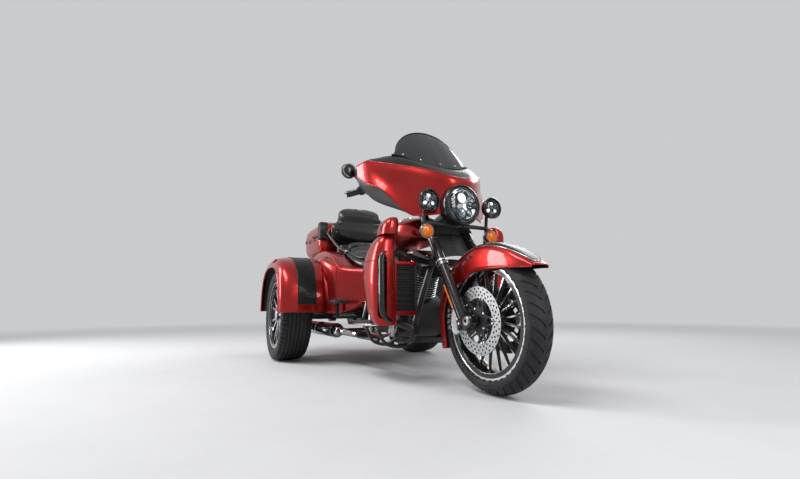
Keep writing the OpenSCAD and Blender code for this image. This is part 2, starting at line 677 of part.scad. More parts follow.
// Two finned barrels in a vee with their heads and rocker boxes.
vee = 22.5;
barrel_from = 138;
barrel_len = 128;
head_len = 74;
rocker_len = 44;
module cylinders() {
    pitch = barrel_len / fin_count;
    color([0.08, 0.08, 0.085]) for (s = [-1, 1]) translate([crank_x, s * 8, crank_z])
        rotate([0, s * vee, 0]) {
        difference() {
            union() {
                translate([0, 0, barrel_from - 20]) cylinder(d = fin_d - 44, h = barrel_len + 22);
                for (i = [0:fin_count - 1]) translate([0, 0, barrel_from + 4 + i * pitch])
                    cylinder(d = fin_d, h = pitch * 0.42);
                for (i = [0:3]) translate([-fin_d / 2 + 2, -fin_d / 2,
                    barrel_from + barrel_len + i * head_len / 4 + 2])
                    cube([fin_d - 4, fin_d, head_len / 4 - 8]);
                translate([-fin_d / 2 + 14, -fin_d / 2 + 12, barrel_from + barrel_len])
                    cube([fin_d - 28, fin_d - 24, head_len]);
                translate([-fin_d / 2 + 6, -fin_d / 2 + 18, barrel_from + barrel_len + head_len])
                    cube([fin_d - 12, fin_d - 36, rocker_len]);
            }
            rotate([0, -s * vee, 0]) rotate([90, 0, 0])
                cylinder(r = 130 + fit, h = 2 * case_half + 40, center = true);
        }
    }
}

// Round air cleaner in the vee on the right.
cleaner_d = 176;
module air_cleaner() {
    color([0.05, 0.05, 0.055]) translate([crank_x, -fin_d / 2 - 8 - fit, crank_z + 262]) rotate([90, 0, 0])
        rotate_extrude($fn = 64) polygon([[0, 0], [cleaner_d / 2 - 6, 0], [cleaner_d / 2, 6],
            [cleaner_d / 2, 56],
            [cleaner_d / 2 - 14, 72], [0, 78]]);
}

// Exhaust: two header pipes on the right, a crossover under the gearbox, and one silencer on each side.
pipe_d = 46;
muffler_d = 92;
muffler_y = 300;
muffler_z = 222;
muffler_from = rear_x + 470;
muffler_to = rear_x - 400;
pipe_low = 208;
pipe_side = 236;
port_x = 130;           // exhaust ports fore and aft of the crankshaft
port_z = crank_z + 276;
module main_pipe(d) {
    tube([[crank_x + port_x, -fin_d / 2 + 8 - fit, port_z], [crank_x + port_x, -150, port_z],
        [crank_x + port_x + 40, -210, port_z - 90], [crank_x + port_x + 20, -pipe_side, pipe_low],
            [muffler_from + 150, -pipe_side, pipe_low], [muffler_from + 60, -muffler_y, muffler_z],
        [muffler_from + fit, -muffler_y, muffler_z]], d, 60, 3);
}
module exhaust() {
    long = muffler_from - muffler_to;
    color([0.45, 0.44, 0.43]) union() {
        main_pipe(pipe_d);
        tube([[crank_x - port_x, -fin_d / 2 - 8 - fit, port_z], [crank_x - port_x, -156, port_z],
            [crank_x - port_x - 20, -214, port_z - 90], [crank_x - port_x, -pipe_side, pipe_low + 60],
            [crank_x - port_x, -pipe_side, pipe_low + pipe_d / 2 + fit]], pipe_d * 0.9, 50, 3);
        bar([muffler_from + 34, -muffler_y + pipe_d / 2 + fit, muffler_z],
            [muffler_from + 34, muffler_y - pipe_d / 2 - fit, muffler_z], pipe_d * 0.8);
        bar([muffler_from + fit, muffler_y, muffler_z], [muffler_from + 70, muffler_y, muffler_z], pipe_d);
        both_sides() translate([muffler_from, muffler_y, muffler_z]) rotate([0, -90, 0])
            rotate_extrude($fn = 48) polygon([[0, 0], [pipe_d / 2 + 5, 0], [muffler_d / 2, 60],
                [muffler_d / 2, long - 60],
                [muffler_d * 0.4, long], [muffler_d * 0.4 - 4, long], [muffler_d * 0.4 - 4, long - 120],
                    [0, long - 120]]);
    }
}

// Fuel tank: sections from the rear end to the front end.
// Columns: share of the length, share of the half-width, share of the height.
tank_front = front_x - 470;
tank_rear = tank_front - tank_len;
tank_low = 748;
tank_rows = [[0, 0.30, 0.22], [0.06, 0.52, 0.42], [0.2, 0.8, 0.7], [0.4, 0.98, 0.93], [0.6, 1, 1],
    [0.8, 0.92, 0.97],
    [0.94, 0.68, 0.82], [1, 0.44, 0.6]];
module fuel_tank() {
    color([0.62, 0.04, 0.03]) difference() {
        loft([for (r = tank_rows) ring_x(tank_rear + tank_len * r[0], tank_w / 2 * r[1],
            tank_low - 20 + 24 * r[0], tank_low + (tank_top - tank_low) * r[2], 2.6, 24)]);
        spine_tunnel();
    }
}
// Channel under the tank for the spine.
module spine_tunnel() {
    half = spine_d / 2 + fit;
    up = half / cos(atan2(spine_path[0][2] - spine_path[1][2], spine_path[0][0] - spine_path[1][0]));
    a = spine_path[0];
    b = spine_path[1];
    slope = (a[2] - b[2]) / (a[0] - b[0]);
    across(-half, half) polygon([[a[0] + 100, a[2] + up + 100 * slope], [b[0] - 120, b[2] + up - 120 * slope],
        [b[0] - 120, 500], [a[0] + 100, 500]]);
}

// Seat: sections from the rear of the pillion to the nose, resting on the trunk body.
// Columns: distance ahead of the rear axle, half-width, underside (below the deck), top (from the seat
// height).
seat_rows = [[112, 176, 0, 104], [150, 196, 0, 120], [300, 204, 0, 124], [352, 214, 20, 112],
    [410, 216, 42, 42],
    [485, 208, 68, 10], [560, 190, 94, 0], [640, 150, 103, 0], [670, 120, 106, 2],
        [tank_rear - rear_x - 6, 84, 45, 6]];
module seat() {
    color([0.05, 0.045, 0.045]) loft([for (r = seat_rows)
        ring_x(rear_x + r[0], r[1], deck_z + fit - r[2], seat_h + r[3], 4, 20)]);
}

// Backrest with a raised head pad, carried by a block on the front of the top case.
// Columns: height, share of the width.
module backrest() {
    back_x = pack_front + 8;
    deep = 104;
    color([0.05, 0.045, 0.045]) difference() {
        union() {
            loft([for (r = [[866, 0.8], [900, 1], [1020, 1], [1062, 0.8]])
                box_ring_z(r[0], back_x, back_x + deep, 262 * r[1], 40, 4)]);
            loft([for (r = [[1062, 1], [1140, 1], [1180, 0.86], [1200, 0.6]])
                box_ring_z(r[0], back_x + 6, back_x + deep - 8, 170 * r[1], 34, 4)]);
            translate([pack_front - 20, -90, pack_split - 58]) cube([40, 180, 46]);
        }
        pack_volume(fit);
    }
}

// Lower fairing: sections from the bottom up.
// Columns: height, rear edge x, outer y, front edge x (from the front axle).
lower_rows = [[292, -398, 384, -340], [330, -440, 398, -334], [420, -496, 420, -331], [520, -530, 432, -330],
    [600, -528, 430, -331], [670, -500, 416, -335], [716, -460, 398, -342], [736, -428, 380, -352]];
lower_inner = 302;
module lower_pod() {
    loft([for (r = lower_rows) [for (i = [0:19]) let (a = 360 * (i + 0.5) / 20,
        cx = (r[1] + r[3]) / 2, cy = (lower_inner + r[2]) / 2)
        [front_x + cx + (r[3] - r[1]) / 2 * sgn_pow(cos(a), 0.6),
            cy + (r[2] - lower_inner) / 2 * sgn_pow(sin(a), 0.6), r[0]]]]);
}
grille_y = [186, 290];
grille_z = [360, 592];
module lower_fairing(side) {
    color([0.62, 0.04, 0.03]) mirror([0, side, 0]) difference() {
        union() {
            lower_pod();
            difference() {
                translate([front_x - 432, grille_y[0] - 14, grille_z[0] - 16])
                    cube([56, lower_inner - grille_y[0] + 30, grille_z[1] - grille_z[0] + 32]);
                translate([front_x - 500, grille_y[0], grille_z[0]])
                    cube([200, grille_y[1] - grille_y[0], grille_z[1] - grille_z[0]]);
            }
        }
        guard_tubes(guard_d + 2 * fit);
    }
}
module lower_fairing_right() { lower_fairing(1); }
module lower_fairing_left() { lower_fairing(0); }

module radiators() {
    color([0.03, 0.03, 0.03]) both_sides() translate([front_x - 424, grille_y[0], grille_z[0]]) union() {
        cube([34, grille_y[1] - grille_y[0], grille_z[1] - grille_z[0]]);
        for (i = [0:15]) translate([34, 0, 4 + i * (grille_z[1] - grille_z[0] - 10) / 15])
            cube([6, grille_y[1] - grille_y[0], 3]);
    }
}

// Engine guard: one hoop in front of each lower fairing.
guard_d = 32;
guard_lug_y = [100, 176];       // outer faces of the upper and lower lugs on the frame
guard_path = [[-396, 80, 612], [-346, 392, 664], [-326, 398, 330], [-440, 150, 262]];
module guard_tubes(d) { tube(in_front(guard_path), d, 60); }
module engine_guard() {
    color([0.03, 0.03, 0.035]) both_sides() difference() {
        guard_tubes(guard_d);
        translate([front_x - 700, -10, 100]) cube([600, guard_lug_y[0] + fit + 10, 800]);
        translate([front_x - 700, -10, 100]) cube([600, guard_lug_y[1] + fit + 10, 240]);
    }
}

// Rider footboards on brackets that pass under the pipes to the lower frame rails.
board_z = 284;
board_w = 122;
board_len = 300;
board_y = 284;
module footboards() {
    arm_z = rail_z - rail_d / 2 - 16;
    color([0.07, 0.07, 0.075]) both_sides() union() {
        translate([front_x - 770, board_y, board_z]) cube([board_len, board_w, 16]);
        for (dx = [-716, -560]) {
            translate([front_x + dx, rail_y - 12, arm_z]) cube([26, board_y - rail_y + 30, 16 - fit]);
            translate([front_x + dx, board_y + 2, arm_z]) cube([26, 16, board_z - arm_z + 2]);
        }
    }
}

// Passenger footboards on bent arms from the pivot blocks.
step_gap = 14;          // clear space between a passenger board and the body's side
step_share = 0.77;      // the body's half-width beside a passenger board, as a share of the whole
module passenger_boards() {
    step_y = body_half_w * step_share + step_gap;
    color([0.07, 0.07, 0.075]) both_sides() union() {
        translate([rear_x + 545, step_y, 402]) cube([140, 92, 16]);
        translate([pivot_x + 6, beam_y + 20 + fit, 306]) cube([22, step_y + 38 - beam_y - 20, 16]);
        translate([pivot_x + 6, step_y + 22, 306]) cube([22, 16, 100]);
    }
}

// Trunk body sections from the rear to the nose.
// Columns: distance ahead of the rear axle, share of the half-width, lower edge, top (below the deck).
body_rear = rear_end - rear_x + 26;
body_rows = [[body_rear, 1, 0, 0], [300, 1, 0, 0], [410, 0.95, 4, 42], [560, 0.75, 12, 94],
    [670, 0.48, 90, 106]];
module body_solid() {
    loft([for (r = body_rows)
        box_ring_x(rear_x + r[0], body_half_w * r[1], skirt_z + r[2], deck_z - r[3], deck_r, 4)]);
}
tyre_room = 20;         // clear space round a rear tyre
module rear_tyre_room() {
    both_sides() translate([rear_x, track / 2, rear_z]) rotate([90, 0, 0])
        cylinder(r = r_tyre_d / 2 + tyre_room, h = r_tyre_w + 2 * tyre_room, center = true);
}
trunk_from = 210;       // front wall of the load space ahead of the rear axle
module trunk_body() {
    color([0.62, 0.04, 0.03]) difference() {
        body_solid();
        rear_tyre_room();
        translate([rear_x + body_rear - 1, -body_half_w + body_t, skirt_z - 10])
            cube([560 - body_rear + 1, 2 * (body_half_w - body_t), floor_under - skirt_z + 10]);
        translate([rear_x + 500, -204, skirt_z - 10]) cube([220, 408, floor_under - skirt_z + 60]);
        at_rear_axle() rotate([90, 0, 0]) cylinder(d = axle_tube_d + 20, h = 4 * body_half_w, center = true);
        translate([rear_x + body_rear - 1, -body_half_w + body_t + 10, floor_z])
            cube([trunk_from - body_rear + 1, 2 * (body_half_w - body_t - 10), deck_z - body_t - floor_z]);
    }
    color([0.62, 0.04, 0.03]) trunk_hinge_body();
}

// Trunk door: the rear panel, hinged on a vertical pin at its left edge, with a plate pad in the middle.
door_face = rear_x + body_rear;
door_pin = [door_face - 12, body_half_w - hinge_r, 0];
door_low = floor_z - 8;
door_high = deck_z - 14;
plate_pad = [6, 190, 116];
plate_hole = [146, 70];
plate_hole_r = 3.2;
plate_z = (door_low + door_high) / 2 - 20;
knuckle_l = 50;
module door_knuckle(z) {
    translate(door_pin + [0, 0, z]) cylinder(r = hinge_r - 0.6, h = knuckle_l);
    translate(door_pin + [0, 1 - hinge_r, z]) cube([door_face + 2 - door_pin[0], 2 * hinge_r - 2, knuckle_l]);
}
module trunk_hinge_body() {
    for (z = [door_low + 50, door_high - 50 - knuckle_l]) door_knuckle(z);
    translate(door_pin + [0, 0, door_low + 50]) cylinder(r = hinge_pin_r, h = door_high - door_low - 100);
}
module trunk_door() {
    gap = 1;
    mid = (door_low + door_high) / 2;
    color([0.62, 0.04, 0.03]) difference() {
        union() {
            translate([rear_end + plate_pad[0], -body_half_w + 12, door_low])
                cube([door_face - rear_end - plate_pad[0] - gap, 2 * body_half_w - 24, door_high - door_low]);
            translate([rear_end, -plate_pad[1] / 2, plate_z - plate_pad[2] / 2]) cube(plate_pad + [1, 0, 0]);
            translate(door_pin + [0, 0, mid - 36]) cylinder(r = hinge_r - 0.6, h = 72);
            translate(door_pin + [-5, -hinge_r - 4, mid - 36]) cube([10, hinge_r + 4, 72]);
        }
        translate(door_pin) cylinder(r = hinge_pin_r + run, h = 2000);
        for (sy = [-1, 1], sz = [-1, 1]) translate([rear_end - 1, sy * plate_hole[0] / 2,
            plate_z + sz * plate_hole[1] / 2])
            rotate([0, 90, 0]) cylinder(r = plate_hole_r, h = 24);
    }
}

// Rear fender: an arched shell over each rear wheel, with a side lip round the wheel opening.
// Columns: share of the way out from the body, shrink of the outline.
fender_rows_y = [[0, 0], [0.5, 0], [0.8, 6], [0.92, 20], [0.98, 44], [1, 72]];
fender_front = 430;
fender_back = 392;
function fender_outline(a, s) = let (front = cos(a) > 0, ax = (front ? fender_front : fender_back) - s,
    bz = fender_top - rear_z - s - fender_low) [ax * sgn_pow(cos(a), 0.74),
        bz * sgn_pow(sin(a), 0.74) + fender_low];
fender_low = 22;        // lower edge above the axle
module rear_fender(side) {
    n = 22;
    y0 = body_half_w + fit;
    y1 = overall_w / 2;
    grid = [for (r = fender_rows_y) [for (i = [0:n]) let (a = 180 * i / n, q = fender_outline(a, r[1]))
        [rear_x + q[0], y0 + (y1 - y0) * r[0], rear_z + q[1]]]];
    color([0.62, 0.04, 0.03]) mirror([0, side, 0]) sheet(grid, fender_t);
}
module rear_fender_right() { rear_fender(1); }
module rear_fender_left() { rear_fender(0); }

module tail_lamps() {
    n = 22;
    lamp_y = body_half_w + 70;
    volume = [for (y = [body_half_w, overall_w / 2])
        [for (i = [0:n]) let (a = 180 * i / n, q = fender_outline(a, -fit))
        [rear_x + q[0], y, rear_z + q[1]]]];
    color([0.7, 0.03, 0.03]) both_sides() difference() {
        translate([rear_x - fender_back - 16, lamp_y, rear_z + 96]) cube([60, 130, 64]);
        loft([for (r = volume) [for (k = [0:n]) r[n - k]]]);
    }
}

// Carrier between the trunk deck and the top case.
module pack_rack() {
    color([0.05, 0.05, 0.055]) both_sides() for (dx = [-90, -330])
        translate([rear_x + dx, 150, deck_z]) cube([60, 40, pack_z - deck_z]);
}

// Top case base: an open tub.
// Columns: share of the height, shrink of the outline.
module pack_tub(z0, z1, rows, t) {
    outer = [for (r = rows) box_ring_z(z0 + (z1 - z0) * r[0], pack_rear + r[1], pack_front - r[1],
        pack_half_w - r[1], 70, 5)];
    inner = [for (i = [len(rows) - 1:-1:0]) let (r = rows[i])
        box_ring_z(z0 + (z1 - z0) * r[0] + (i == 0 ? t : 0), pack_rear + r[1] + t, pack_front - r[1] - t,
            pack_half_w - r[1] - t, 70 - t, 5)];
    loft(concat(outer, inner));
}
base_rows = [[0, 40], [0.12, 20], [0.4, 6], [1, 0]];
lid_rows = [[0, 60], [0.12, 34], [0.4, 10], [1, 0]];
lid_gap = 1;
pack_mid = (pack_front + pack_rear) / 2;
lid_pin_y = -pack_half_w - hinge_r - 1;
lid_pin_z = pack_split + lid_gap / 2;
// The base as a filled body, grown by extra all round.
module pack_volume(extra) {
    loft([for (r = base_rows) box_ring_z(pack_z + (pack_split - pack_z) * r[0] + (r[0] == 1 ? extra : 0)
        - (r[0] == 0 ? extra : 0),
        pack_rear + r[1] - extra, pack_front - r[1] + extra, pack_half_w - r[1] + extra, 70 + extra, 5)]);
}
// One hinge leaf on the right-hand rim: a barrel of length l at x, and a pad from the wall to the barrel.
module lid_knuckle(x, l, pad_from, pad_to) {
    translate([x - l / 2, lid_pin_y, lid_pin_z]) rotate([0, 90, 0]) cylinder(r = hinge_r, h = l);
    translate([x - l / 2, lid_pin_y, lid_pin_z + pad_from]) cube([l, hinge_r + 3, pad_to - pad_from]);
}
module pack_base() {
    color([0.62, 0.04, 0.03]) union() {
        pack_tub(pack_z, pack_split, base_rows, pack_t);
        for (dx = [-70, 70]) lid_knuckle(pack_mid + dx, 60, -20, -lid_gap / 2);
        translate([pack_mid - 100, lid_pin_y, lid_pin_z]) rotate([0, 90, 0])
            cylinder(r = hinge_pin_r, h = 200);
    }
}
module pack_lid() {
    color([0.62, 0.04, 0.03]) difference() {
        union() {
            mirror([0, 0, 1]) translate([0, 0, -pack_top - pack_split - lid_gap])
                pack_tub(pack_split + lid_gap, pack_top, lid_rows, pack_t);
            lid_knuckle(pack_mid, 76, lid_gap / 2, 20);
        }
        translate([pack_mid - 100, lid_pin_y, lid_pin_z]) rotate([0, 90, 0])
            cylinder(r = hinge_pin_r + run, h = 200);
    }
}

// Speaker pods on the front corners of the top case.
module speaker_pods() {
    color([0.05, 0.05, 0.055]) both_sides() difference() {
        union() {
            translate([pack_front + 8, 264, pack_split - 40]) cube([56, 66, 140]);
            translate([pack_front - 70, 270, pack_split - 40]) cube([82, 44, 28]);
        }
        pack_volume(fit);
    }
}

// Swingarm from the frame pivot to the axle housing.
arm_y = 205;
module swingarm() {
    color([0.05, 0.05, 0.055]) difference() {
        union() {
            both_sides() bar([pivot_x, arm_y, 350], [rear_x, arm_y, rear_z], 56);
            both_sides() translate([rear_x, arm_y, rear_z]) rotate([90, 0, 0])
                cylinder(d = 110, h = 44, center = true);
            translate([pivot_x, 0, 350]) rotate([90, 0, 0]) cylinder(d = 24, h = 2 * arm_y, center = true);
        }
        translate([rear_x, 0, rear_z]) rotate([90, 0, 0])
            cylinder(d = axle_tube_d + 2 * fit, h = 800, center = true);
    }
}

axle_tube_d = 76;
// Rear axle: housing with the final drive in the middle and a spindle at each end.
module rear_axle() {
    color([0.1, 0.1, 0.105]) at_rear_axle() rotate([90, 0, 0]) union() {
        translate([0, 0, -belt_y + 4 + 62]) cylinder(d = 164, h = 124, center = true);
        cylinder(d = axle_tube_d, h = track - r_tyre_w - 40, center = true);
        cylinder(d = spindle_d, h = track + 120, center = true);
    }
}

// Toothed belt between the gearbox and the final drive, with both pulleys.
belt_y = gear_half + 8;
belt_w = 26;
module drive_belt() {
    r0 = 46;
    r1 = 78;
    p0 = [gear_x - 40, crank_z + 10];
    p1 = [rear_x, rear_z];
    run_len = norm(p1 - p0);
    lean = atan2(p1[1] - p0[1], p1[0] - p0[0]);
    tilt = asin((r1 - r0) / run_len);
    color([0.03, 0.03, 0.03]) union() {
        across(belt_y, belt_y + belt_w) {
            for (s = [-1, 1]) translate(p0) rotate(lean + s * tilt) translate([-2, s > 0 ? r0 - 7 : -r0 + 1])
                square([run_len + 4, 6]);
            translate(p0) circle(r = r0);
            translate(p1) difference() {
                circle(r = r1);
                circle(d = axle_tube_d + 2 * fit);
            }
        }
        across(gear_half + fit, belt_y + 1) translate(p0) circle(r = 22);
    }
}

// Rear wheels
r_bead = r_rim_d / 2;
r_rim_k = r_tyre_w * 0.4;
module rear_tyre(side) {
    color([0.05, 0.05, 0.055]) translate([rear_x, side * track / 2, rear_z]) about_y()
        tyre_section(r_tyre_d / 2, r_tyre_w, r_bead, r_rim_k, 26);
}
module rear_tyre_right() { rear_tyre(-1); }
module rear_tyre_left() { rear_tyre(1); }
module rear_rim(side) {
    color([0.2, 0.2, 0.21]) translate([rear_x, side * track / 2, rear_z])
        mirror([0, side < 0 ? 1 : 0, 0]) difference() {
        union() {
            about_y() rim_section(r_bead, r_rim_k, 12);
            across(40, 62) spoke_star(7, 40, r_bead - 18, 30, 20, 14);
            translate([0, 66, 0]) rotate([90, 0, 0]) cylinder(r = 62, h = 60);
        }
        rotate([90, 0, 0]) cylinder(d = spindle_d + 2 * run, h = 400, center = true);
    }
}
module rear_rim_right() { rear_rim(-1); }
module rear_rim_left() { rear_rim(1); }

front_tyre();
front_rim();
front_discs();
front_axle();
fork_sliders();
fork_tubes();
fork_clamps();
front_calipers();
front_fender();
fairing_outer();
fairing_inner();
fairing_cap();
windshield();
headlamp();
passing_lamps();
turn_signals();
lamp_bar();
handlebar();
hand_controls();
mirrors();
frame();
engine_cases();
cylinders();
air_cleaner();
exhaust();
fuel_tank();
seat();
backrest();
lower_fairing_right();
lower_fairing_left();
radiators();
engine_guard();
footboards();
passenger_boards();
trunk_body();
trunk_door();
rear_fender_right();
rear_fender_left();
tail_lamps();
pack_rack();
pack_base();
pack_lid();
speaker_pods();
swingarm();
rear_axle();
drive_belt();
rear_tyre_right();
rear_rim_right();
rear_tyre_left();
rear_rim_left();
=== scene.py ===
import math
import bmesh
import bpy
import numpy as np
from mathutils import Matrix, Vector


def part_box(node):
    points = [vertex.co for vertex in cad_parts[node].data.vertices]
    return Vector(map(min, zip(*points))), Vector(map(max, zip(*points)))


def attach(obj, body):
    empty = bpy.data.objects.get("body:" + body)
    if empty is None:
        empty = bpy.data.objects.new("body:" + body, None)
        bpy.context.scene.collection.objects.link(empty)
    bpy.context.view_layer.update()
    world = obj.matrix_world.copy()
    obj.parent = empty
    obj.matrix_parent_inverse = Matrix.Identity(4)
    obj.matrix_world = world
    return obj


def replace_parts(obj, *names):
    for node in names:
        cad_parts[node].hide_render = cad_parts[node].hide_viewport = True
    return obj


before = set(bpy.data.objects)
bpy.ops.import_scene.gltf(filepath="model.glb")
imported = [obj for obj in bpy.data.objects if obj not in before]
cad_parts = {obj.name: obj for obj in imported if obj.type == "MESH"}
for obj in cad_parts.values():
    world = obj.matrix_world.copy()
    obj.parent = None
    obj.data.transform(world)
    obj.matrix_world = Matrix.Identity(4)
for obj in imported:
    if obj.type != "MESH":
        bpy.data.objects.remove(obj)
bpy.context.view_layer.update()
scene = bpy.context.scene
scene.view_settings.view_transform = "Standard"

# Places in metres: X forward, Y to the rider's left, Z up
FRONT_X, FRONT_Z = 1.0155, 0.3195
REAR_X, REAR_Z, REAR_Y = -0.6545, 0.3255, 0.550
FORK_LEAN = math.radians(32)
LEG_Y = 0.116
DISC_Y = 0.081
SEAT_DECK, SEAT_SPLIT = .7353, 352
SIDES = ((-1, "right"), (1, "left"))


# Mesh making

def spline(keys, values, at):
    """Smooth curve through values at rising keys, for one or many places."""
    keys, values = np.asarray(keys, float), np.asarray(values, float)
    slope = np.gradient(values, keys, axis=0)
    at = np.clip(np.asarray(at, float), keys[0], keys[-1])
    i = np.clip(np.searchsorted(keys, at, side="right") - 1, 0, len(keys) - 2)
    h = keys[i + 1] - keys[i]
    t = (at - keys[i]) / h
    if values.ndim > 1:
        t, h = t[..., None], h[..., None]
    return ((2 * t**3 - 3 * t**2 + 1) * values[i] + (t**3 - 2 * t**2 + t) * h * slope[i]
            + (3 * t**2 - 2 * t**3) * values[i + 1] + (t**3 - t**2) * h * slope[i + 1])


def row_at(table, key):
    """Row of a table at a key of its first column."""
    return spline(table[:, 0], table[:, 1:], np.array(float(key)))


def around(count):
    """Even angles of a full turn."""
    return np.linspace(0, 2 * math.pi, count, endpoint=False)


def polar(r, a):
    """Point of a plane at a radius and an angle."""
    return r * math.cos(a), r * math.sin(a)


def signed(v, power):
    """Power of a number that keeps its sign."""
    return math.copysign(abs(v) ** power, v)


def piece(name, points, faces, body, finish, at=(0, 0, 0), smooth=True):
    """Mesh object of local points, standing at a place and riding on a body."""
    mesh = bpy.data.meshes.new(name)
    mesh.from_pydata([tuple(map(float, p)) for p in points], [], [tuple(map(int, f)) for f in faces])
    mesh.validate()
    obj = bpy.data.objects.new(name, mesh)
    scene.collection.objects.link(obj)
    obj.location = at
    for m in finish if isinstance(finish, (list, tuple)) else [finish]:
        mesh.materials.append(m)
    if smooth:
        mesh.polygons.foreach_set("use_smooth", [True] * len(mesh.polygons))
    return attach(obj, body)


def crisp(obj, angle=35):
    """Keeps edges sharper than an angle, in degrees."""
    mesh = obj.data
    bm = bmesh.new()
    bm.from_mesh(mesh)
    for e in bm.edges:
        e.smooth = not (len(e.link_faces) == 2 and e.calc_face_angle(0) > math.radians(angle))
    bm.to_mesh(mesh)
    bm.free()
    return obj


def soften(obj, width, steps=2):
    """Rounds the sharp edges of a piece."""
    m = obj.modifiers.new("soften", "BEVEL")
    m.width, m.segments, m.limit_method, m.angle_limit = width, steps, "ANGLE", math.radians(40)
    m.harden_normals = True
    return obj


def subdivide(obj, levels=1):
    """Smooths a piece by splitting its faces."""
    m = obj.modifiers.new("subdivide", "SUBSURF")
    m.levels = m.render_levels = levels
    return obj


def thicken(obj, amount):
    """Gives a sheet its thickness."""
    m = obj.modifiers.new("thicken", "SOLIDIFY")
    m.thickness, m.offset, m.use_even_offset = amount, -1, False
    return obj


def grid_faces(rows, cols, wrap_rows=False, wrap_cols=False):
    """Faces of a grid of points, row by row."""
    return [(r * cols + c, ((r + 1) % rows) * cols + c,
             ((r + 1) % rows) * cols + (c + 1) % cols, r * cols + (c + 1) % cols)
            for r in range(rows if wrap_rows else rows - 1) for c in range(cols if wrap_cols else cols - 1)]


def skin(name, grid, body, finish, thick=0.004, levels=1):
    """Sheet of even thickness under a grid of points."""
    g = np.asarray(grid, float)
    obj = piece(name, g.reshape(-1, 3), grid_faces(*g.shape[:2]), body, finish)
    if levels:
        subdivide(obj, levels)
    return thicken(obj, thick) if thick else obj


def loft(name, rings, body, finish, levels=0):
    """Closed solid through rings of points."""
    g = np.asarray(rings, float)
    m, n = g.shape[:2]
    faces = grid_faces(m, n, wrap_cols=True) + [tuple(range(n)), tuple(m * n - 1 - i for i in range(n))]
    obj = piece(name, g.reshape(-1, 3), faces, body, finish)
    upright(obj)
    return subdivide(obj, levels) if levels else obj


def upright(obj, weld=0.0):
    """Turns all faces outward, after joining points closer than weld."""
    bm = bmesh.new()
    bm.from_mesh(obj.data)
    if weld:
        bmesh.ops.remove_doubles(bm, verts=bm.verts, dist=weld)
    bmesh.ops.recalc_face_normals(bm, faces=bm.faces)
    bm.to_mesh(obj.data)
    bm.free()


def turned(name, profile, at, body, finish, axis="Y", steps=96, closed=False):
    """Profile of (radius, along) turned about an axis through a place."""
    pts, n = [], len(profile)
    for k in range(steps):
        a = 2 * math.pi * k / steps
        for r, y in profile:
            c, s = r * math.cos(a), r * math.sin(a)
            pts.append({"Y": (c, y, s), "X": (y, c, s), "Z": (c, s, y)}[axis])
    obj = piece(name, pts, grid_faces(steps, n, True, closed), body, finish, at)
    upright(obj, 1e-5)
    return crisp(obj)


def path_frames(path):
    """Points of a path and two directions across it at each point."""
    p = np.asarray(path, float)
    t = np.gradient(p, axis=0)
    t /= np.linalg.norm(t, axis=1)[:, None]
    up = np.array([0, 0, 1.0]) if abs(t[0][2]) < 0.8 else np.array([0, 1.0, 0])
    n = np.cross(t[0], up)
    across = []
    for d in t:
        n = n - d * n.dot(d)
        n = n / np.linalg.norm(n)
        across.append(n)
    across = np.array(across)
    return p, across, np.cross(t, across)


def smooth_path(points, count):
    """Even points on a smooth curve through a few points."""
    p = np.asarray(points, float)
    d = np.r_[0, np.cumsum(np.linalg.norm(np.diff(p, axis=0), axis=1))]
    return spline(d, p, np.linspace(0, d[-1], count))


def swept(name, points, radius, body, finish, sides=14, closed=False, flat=1.0):
    """Round or flattened bar along a path. The radius may change along it."""
    path = np.asarray(points, float)
    p, n, b = path_frames(path)
    if closed:
        loop = np.vstack([path[-2:], path, path[:2]])
        p, n, b = (v[2:-2] for v in path_frames(loop))
    r = np.broadcast_to(np.asarray(radius, float), (len(p),))
    a = around(sides)
    rings = [p[i] + r[i] * (np.cos(a)[:, None] * n[i] + flat * np.sin(a)[:, None] * b[i])
             for i in range(len(p))]
    g = np.array(rings)
    faces = grid_faces(len(p), sides, closed, True)
    if not closed:
        faces += [tuple(range(sides)), tuple(len(p) * sides - 1 - i for i in range(sides))]
    obj = piece(name, g.reshape(-1, 3), faces, body, finish)
    upright(obj)
    return crisp(obj, 60)


def slab(name, outlines, thick, body, finish, place, round_edge=0.0, walls=None):
    """Flat plate with holes: closed outlines in a plane, the first one outermost, set by a 4x4 place."""
    curve = bpy.data.curves.new(name, "CURVE")
    curve.dimensions, curve.fill_mode, curve.extrude = "2D", "BOTH", max(thick / 2 - round_edge, 1e-5)
    curve.bevel_depth, curve.bevel_resolution = round_edge, 1
    for line in outlines:
        s = curve.splines.new("POLY")
        s.points.add(len(line) - 1)
        for q, (x, y) in zip(s.points, line):
            q.co = (x, y, 0, 1)
        s.use_cyclic_u = True
    made = bpy.data.objects.new(name, curve)
    mesh = bpy.data.meshes.new_from_object(made)
    bpy.data.objects.remove(made)
    bpy.data.curves.remove(curve)
    obj = bpy.data.objects.new(name, mesh)
    mesh.materials.clear()
    mesh.materials.append(finish)
    if walls:
        mesh.materials.append(walls)
        for poly in mesh.polygons:
            poly.material_index = 1 if abs(poly.normal.z) < 0.3 else 0
    scene.collection.objects.link(obj)
    obj.matrix_world = place
    return crisp(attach(obj, body), 30)


def circle(r, n=64, cx=0.0, cy=0.0):
    """Outline of a circle."""
    return [(cx + r * math.cos(2 * math.pi * i / n), cy + r * math.sin(2 * math.pi * i / n))
            for i in range(n)]


def rounded(w, h, r, n=6, cx=0.0, cy=0.0):
    """Outline of a rounded rectangle."""
    out = []
    for q, (sx, sy) in enumerate([(1, 1), (-1, 1), (-1, -1), (1, -1)]):
        for i in range(n + 1):
            a = math.radians(q * 90 + 90 * i / n)
            out.append((cx + sx * (w / 2 - r) + r * math.cos(a), cy + sy * (h / 2 - r) + r * math.sin(a)))
    return out


